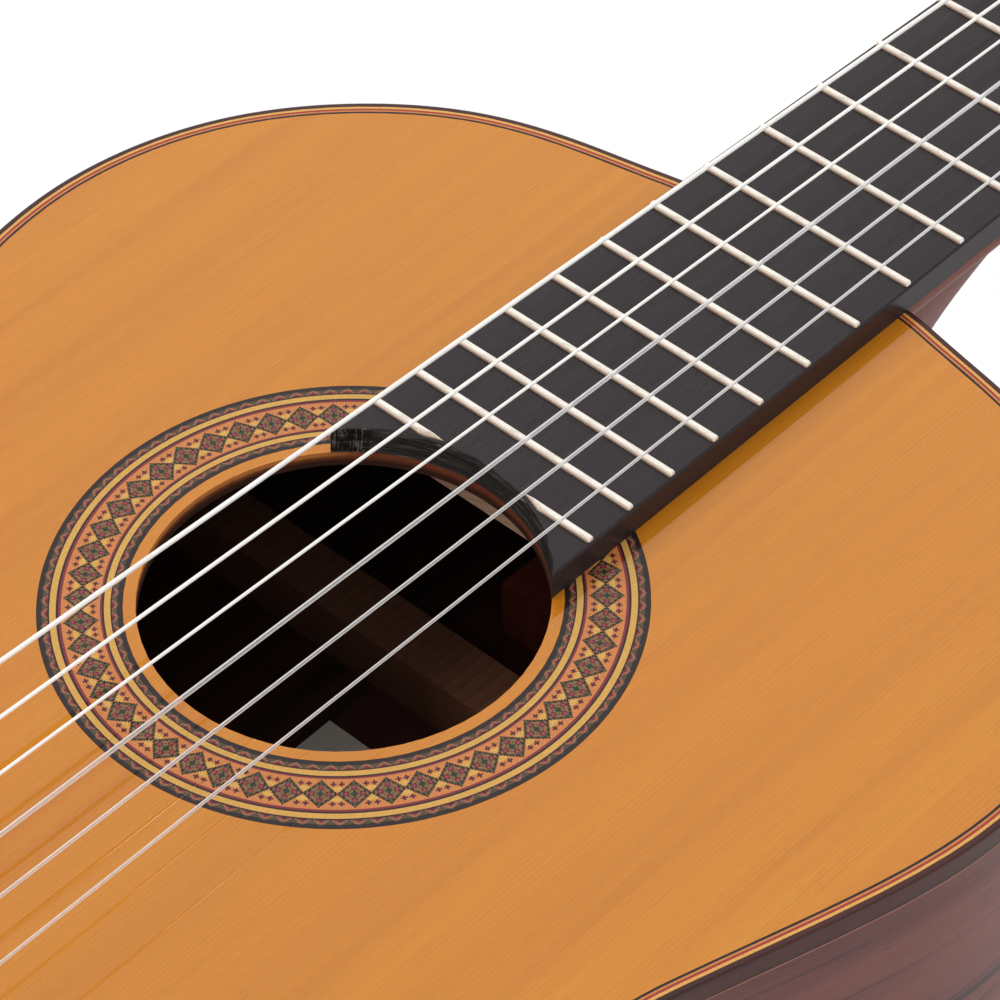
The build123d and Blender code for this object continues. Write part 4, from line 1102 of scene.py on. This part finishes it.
def fret_stations(x0, x1, cut0, cut1):
    """(x, fullness) along the wire; fullness drops to 0 at an end that isn't cut."""
    def fullness(f, cut):
        return 1.0 if cut else (1 - (1 - f) ** 2) ** 0.5

    length = x1 - x0
    count = max(2, int(length / (0.7 if cut0 or cut1 else 3)))
    start = [(x0 + END_LENGTH * f, fullness(f, cut0)) for f in END_STEPS]
    middle = [(x0 + END_LENGTH + (length - 2 * END_LENGTH) * k / count, 1.0)
              for k in range(1, count)]
    end = [(x1 - END_LENGTH * f, fullness(f, cut1)) for f in END_STEPS[::-1]]
    return start + middle + end


def fret_bar(z, x0, x1, cut0=False, cut1=False):
    profile = crown_profile()
    sections = []
    for x, full in fret_stations(x0, x1, cut0, cut1):
        width = 0.55 + 0.45 * full
        section = []
        for k, (across, height) in enumerate(profile):
            place = x
            rise = 0.35 + 0.65 * full
            if cut0 or cut1:
                limit = cut_x(z - across * width) + 0.18 * math.sin(k * 2.1)
                if abs(x) < limit + CUT_SLOPE:
                    distance = max(abs(x), limit)
                    place = math.copysign(distance, x)
                    rise *= 0.30 + 0.70 * min(1.0, (distance - limit) / CUT_SLOPE) ** 0.6
            section.append((place, -BOARD_T - height * rise, z - across * width))
        # short skirt under the crown, in the slot
        section += [(x, SKIRT_Y, z + SKIRT_HALF), (x, SKIRT_Y, z - SKIRT_HALF)]
        sections.append(section)
    return skin(sections)


def build_frets():
    shells = Shells()
    for number in range(1, FRETS):
        z = fret_z(number)
        half = board_half(z) - FRET_INSET
        shells.add(*fret_bar(z, -half, half), 0)
    # the last fret is cut through by the soundhole
    z = fret_z(FRETS)
    half = board_half(z) - FRET_INSET
    inner = cut_x(z + 1.05) + 0.1
    shells.add(*fret_bar(z, inner, half, cut0=True), 0)
    shells.add(*fret_bar(z, -half, -inner, cut1=True), 0)
    shells.piece("fret_bars", ("nickel_silver",), "nickel_silver", smooth=True,
                 stands_for=("frets",))


build_frets()


# ------------------------------------------------------------------ strings
def string_points(number, cord):
    """Corners from the roller over nut and saddle, through the tie block and back over it."""
    radius = cord.diameter / 2
    saddle_h = SADDLE_H[0] + (SADDLE_H[1] - SADDLE_H[0]) * ((number - 1) / 5.0)
    nut = Vector((cord.nut_x, -(NUT_H + radius), NUT_Z + 0.4))
    # tangent from the nut to the front of the barrel, in the head's own directions
    nut_along = nut.y * HEAD_SIN + (nut.z - HEAD_Z) * HEAD_COS
    nut_out = -nut.y * HEAD_COS + (nut.z - HEAD_Z) * HEAD_SIN
    along, out = cord.roller_along - nut_along, ROLLER_OUT - nut_out
    reach = BARREL_R + radius + 0.06
    slope = math.atan2(out, along) + math.asin(reach / math.hypot(along, out))
    end = head_point(cord.roller_x, cord.roller_along - reach * math.sin(slope),
                     ROLLER_OUT + reach * math.cos(slope))
    x = cord.saddle_x
    back_x = x + cord.diameter + 0.1
    back_y = -(TIE_BLOCK_H + radius + 0.04)
    return [end, nut, Vector((x, -(saddle_h + radius), SADDLE_Z)), Vector((x, TIE_Y, 152.5)),
            Vector((x, TIE_Y, TIE_BLOCK_Z)), Vector((back_x, back_y, TIE_BLOCK_Z)),
            Vector((back_x, back_y, 152.6))]


def string_slot(number):
    return "nylon" if is_nylon(number) else "silver_wound"


def coiled_look(number):
    return "nylon_coiled" if is_nylon(number) else "silver_wound"


def build_string(number, cord):
    path = rounded_path(string_points(number, cord), reach=0.5)
    # long straight runs are split so that their shading stays smooth
    dense = [path[0]]
    for a, b in zip(path, path[1:]):
        steps = max(1, int((b - a).length / 20.0))
        dense += [a + (b - a) * (k / steps) for k in range(1, steps + 1)]
    shells = Shells()
    shells.add(*tube(dense, cord.diameter / 2, sides=24), 0)
    shells.piece(f"cord_{number}", (FINISH[f"string_{number}"],), string_slot(number),
                 smooth=True, stands_for=(f"string_{number}",))


for number, cord in enumerate(STRINGS, 1):
    build_string(number, cord)


# ------------------------------------------------------------------ rollers and windings
BARREL_NEAR, BARREL_FAR = 6.8, 22.2     # ends of the barrel, from the centre of the head
BARREL_END = ((0.0, 4.3), (0.15, 4.75), (0.5, BARREL_R), (1.0, BARREL_R), (1.15, 4.85),
              (1.4, 4.85), (1.55, BARREL_R))     # inset from the barrel's end, radius
AXLE_R = 2.95
TURNS = 3.45
TURN_STEPS = 150
WIND_START = math.radians(95.0)
HOLE_ANGLE = math.pi / 2 + 4 * 2 * math.pi      # the string's hole faces front, on turn four


def build_barrel(number, cord):
    """Barrel, steel axle and the wound-on string, all on one roller."""
    side = math.copysign(1, cord.roller_x)
    diameter = cord.diameter
    radius = diameter / 2
    shells = Shells()

    def around(x, r, angle):
        return head_point(x, cord.roller_along + r * math.cos(angle),
                          ROLLER_OUT + r * math.sin(angle))

    def lathe(profile, slot, segments):
        """profile: (distance from the centre of the head, radius)."""
        angles = [2 * math.pi * k / segments for k in range(segments)]
        verts, faces = skin([[around(side * out, r, a) for a in angles] for out, r in profile])
        shells.add(verts, faces if side > 0 else [face[::-1] for face in faces], slot)

    lathe([(BARREL_NEAR + inset, r) for inset, r in BARREL_END]
          + [(BARREL_FAR - inset, r) for inset, r in BARREL_END[::-1]], 0, 48)
    lathe([(1.75, 2.5), (2.0, 2.85), (2.4, AXLE_R), (BARREL_NEAR + 0.05, AXLE_R)], 1, 36)
    lathe([(BARREL_FAR - 0.05, AXLE_R), (37.5, AXLE_R), (37.5, 1.95), (43.6, 1.95)], 1, 36)

    # round the barrel, then down into the hole
    first = cord.roller_x - side * (0.85 * diameter + radius)
    last = cord.roller_x - side * (4.4 * diameter - radius * 0.4)
    hole = cord.roller_x - side * 5.2 * diameter
    wind_end = WIND_START + 2 * math.pi * TURNS
    coil = []
    for k in range(TURN_STEPS + 1):
        f = k / TURN_STEPS
        coil.append(around(first + (last - first) * f, BARREL_R + radius,
                           WIND_START + (wind_end - WIND_START) * f))
    for k in range(1, 11):
        f = k / 10
        coil.append(around(last + (hole - last) * f, BARREL_R + radius,
                           wind_end + (HOLE_ANGLE - wind_end) * f))
    coil += [head_point(hole, cord.roller_along, ROLLER_OUT + r) for r in (4.9, 4.0, 2.0)]
    shells.add(*tube(coil, radius - 0.01, sides=14), 2)

    # short tail behind the barrel: outwards in x, along the head, out from the axis
    tail = ((0.0, 0.0, -4.0), (0.0, 0.0, -5.2), (0.25, 0.5, -6.3), (0.5, 1.2, -6.9))
    tail = [head_point(hole + dx * side, cord.roller_along + along, ROLLER_OUT + out)
            for dx, along, out in tail]
    shells.add(*tube(tail, radius - 0.01, sides=14), 2)

    piece = shells.piece(f"barrel_{number}", ("roller_ivory", "steel_plated", coiled_look(number)),
                         "white_roller", body=f"roller_{number}",
                         stands_for=(f"string_roller_{number}",))
    # the string is shaded smooth, the turned parts and all the caps flat
    for face in piece.data.polygons:
        if len(face.vertices) == 4:
            face.use_smooth = face.material_index == 2


for number, cord in enumerate(STRINGS, 1):
    build_barrel(number, cord)


# ------------------------------------------------------------------ knots at the tie block
def build_knot(number, cord):
    d = cord.diameter
    top = -(TIE_BLOCK_H + d / 2 + 0.06)
    # x from the string's place at the saddle, y, z
    points = (
        (d + 0.12, top, 152.7), (d + 0.2, top + 0.9, 153.5), (0.9 * d, top + 1.6, 154.1),
        (0.2, TIE_Y - 1.3 * d - 0.9, 154.5), (-0.9 * d, top + 1.5, 154.0),
        (-1.2 * d, top + 0.5, 153.1), (-1.3 * d, top, 151.6), (-1.3 * d - 0.1, top, 147.0),
        (-0.9 * d, top, 143.0), (-0.2 * d, top - 0.25 * d, 140.2),
        (0.6 * d, top - 0.9 * d, 139.2), (2.1 * d, top - 1.0 * d, 139.0),
        (3.6 * d + 1.0, top - 0.5 * d, 139.3))
    path = rounded_path([Vector((cord.saddle_x + x, y, z)) for x, y, z in points], reach=0.7)
    shells = Shells()
    shells.add(*tube(path, d / 2, sides=14), 0)
    shells.piece(f"knot_{number}", (coiled_look(number),), string_slot(number), smooth=True)


for number, cord in enumerate(STRINGS, 1):
    build_knot(number, cord)


# ------------------------------------------------------------------ studio, in metres
FLOOR_Z = -0.0025
FLOOR_HALF = 30.0
LIGHT_TARGET = Vector((0, 0, 0.35))


def build_world():
    """Soft surroundings with two brighter patches; the camera itself sees plain white."""
    world = bpy.data.worlds.new("studio")
    bpy.context.scene.world = world
    graph = Graph(world, "ShaderNodeOutputWorld")
    direction = graph.make("ShaderNodeTexCoord", output="Generated")

    def glow(towards, span, strength):
        """Strength over span, the cosine of the angle to the direction towards."""
        cosine = graph.make("ShaderNodeVectorMath", {0: direction, 1: Vector(towards).normalized()},
                            output="Value", operation="DOT_PRODUCT")
        return graph.fade(cosine, span, strength, smooth=True)

    base = glow((0, 0, 1), span=(-1.0, 1.0), strength=(0.50, 0.78))
    key = glow((-0.49, -0.70, 0.52), span=(0.55, 0.97), strength=(0.0, 0.45))
    fill = glow((0.80, 0.45, 0.45), span=(0.70, 0.97), strength=(0.0, 0.08))
    lit = graph.make("ShaderNodeBackground",
                     {"Color": (1.0, 0.985, 0.97), "Strength": base + key + fill})
    white = graph.make("ShaderNodeBackground", {"Color": grey(1.0), "Strength": 1.0})
    camera_ray = graph.make("ShaderNodeLightPath", output="Is Camera Ray")
    graph.finish(graph.mix_shaders(camera_ray, lit, white))


def build_floor():
    """Pale floor, clear from below so that a low camera looks through it."""
    look = Look("floor_pale")
    cloud = look.spots(0.01, detail=2.0, rough=0.5)
    pale = look.principled(Base_Color=look.ramp(cloud, (0.3, grey(0.795)), (0.7, grey(0.81))),
                           Roughness=0.8)
    below = look.make("ShaderNodeNewGeometry", output="Backfacing")
    look.finish(look.mix_shaders(below, pale, look.make("ShaderNodeBsdfTransparent")))
    mesh = bpy.data.meshes.new("floor")
    corners = ((-1, -1), (1, -1), (1, 1), (-1, 1))
    mesh.from_pydata([(x * FLOOR_HALF, y * FLOOR_HALF, FLOOR_Z) for x, y in corners], [],
                     [(0, 1, 2, 3)])
    mesh.materials.append(PALETTE["floor_pale"])
    floor = bpy.data.objects.new("floor", mesh)
    bpy.context.scene.collection.objects.link(floor)
    floor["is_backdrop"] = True


def area_light(name, place, size, power, glossy):
    light = bpy.data.lights.new(name, "AREA")
    light.shape = "RECTANGLE"
    light.size, light.size_y = size
    light.energy = power
    lamp = bpy.data.objects.new(name, light)
    lamp.location = place
    lamp.rotation_euler = (LIGHT_TARGET - Vector(place)).to_track_quat("-Z", "Y").to_euler()
    lamp.visible_glossy = glossy
    bpy.context.scene.collection.objects.link(lamp)


def build_camera():
    data = bpy.data.cameras.new("camera")
    data.sensor_width = 36.0
    data.lens = 161.49
    data.clip_start = 0.01
    camera = bpy.data.objects.new("camera", data)
    bpy.context.scene.collection.objects.link(camera)
    right = Vector((0.73219979, 0.00590194, 0.68106434))
    up = Vector((-0.47689785, -0.70947918, 0.51885232))
    forward = Vector((-0.4862632, 0.70470168, 0.51666589))
    pose = Matrix((right, up, -forward)).transposed().to_4x4()
    pose.translation = Vector((0.475237, -0.682141, -0.119080))
    camera.matrix_world = pose
    bpy.context.scene.camera = camera


build_world()
build_floor()
area_light("softbox_left", (-1.3, -1.5, 1.7), size=(1.0, 1.0), power=14.0, glossy=False)
area_light("strip_right", (1.6, -0.1, 0.5), size=(0.16, 1.6), power=2.5, glossy=True)
build_camera()
bpy.context.scene.view_settings.view_transform = "Standard"
bpy.context.scene.view_settings.look = "None"


# ------------------------------------------------------------------ sizes and finish
def as_list(box):
    return [[float(c) for c in v] if hasattr(v, "__len__") else float(v) for v in box]


{"cad": as_list(cad_box), "visual": as_list(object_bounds())}
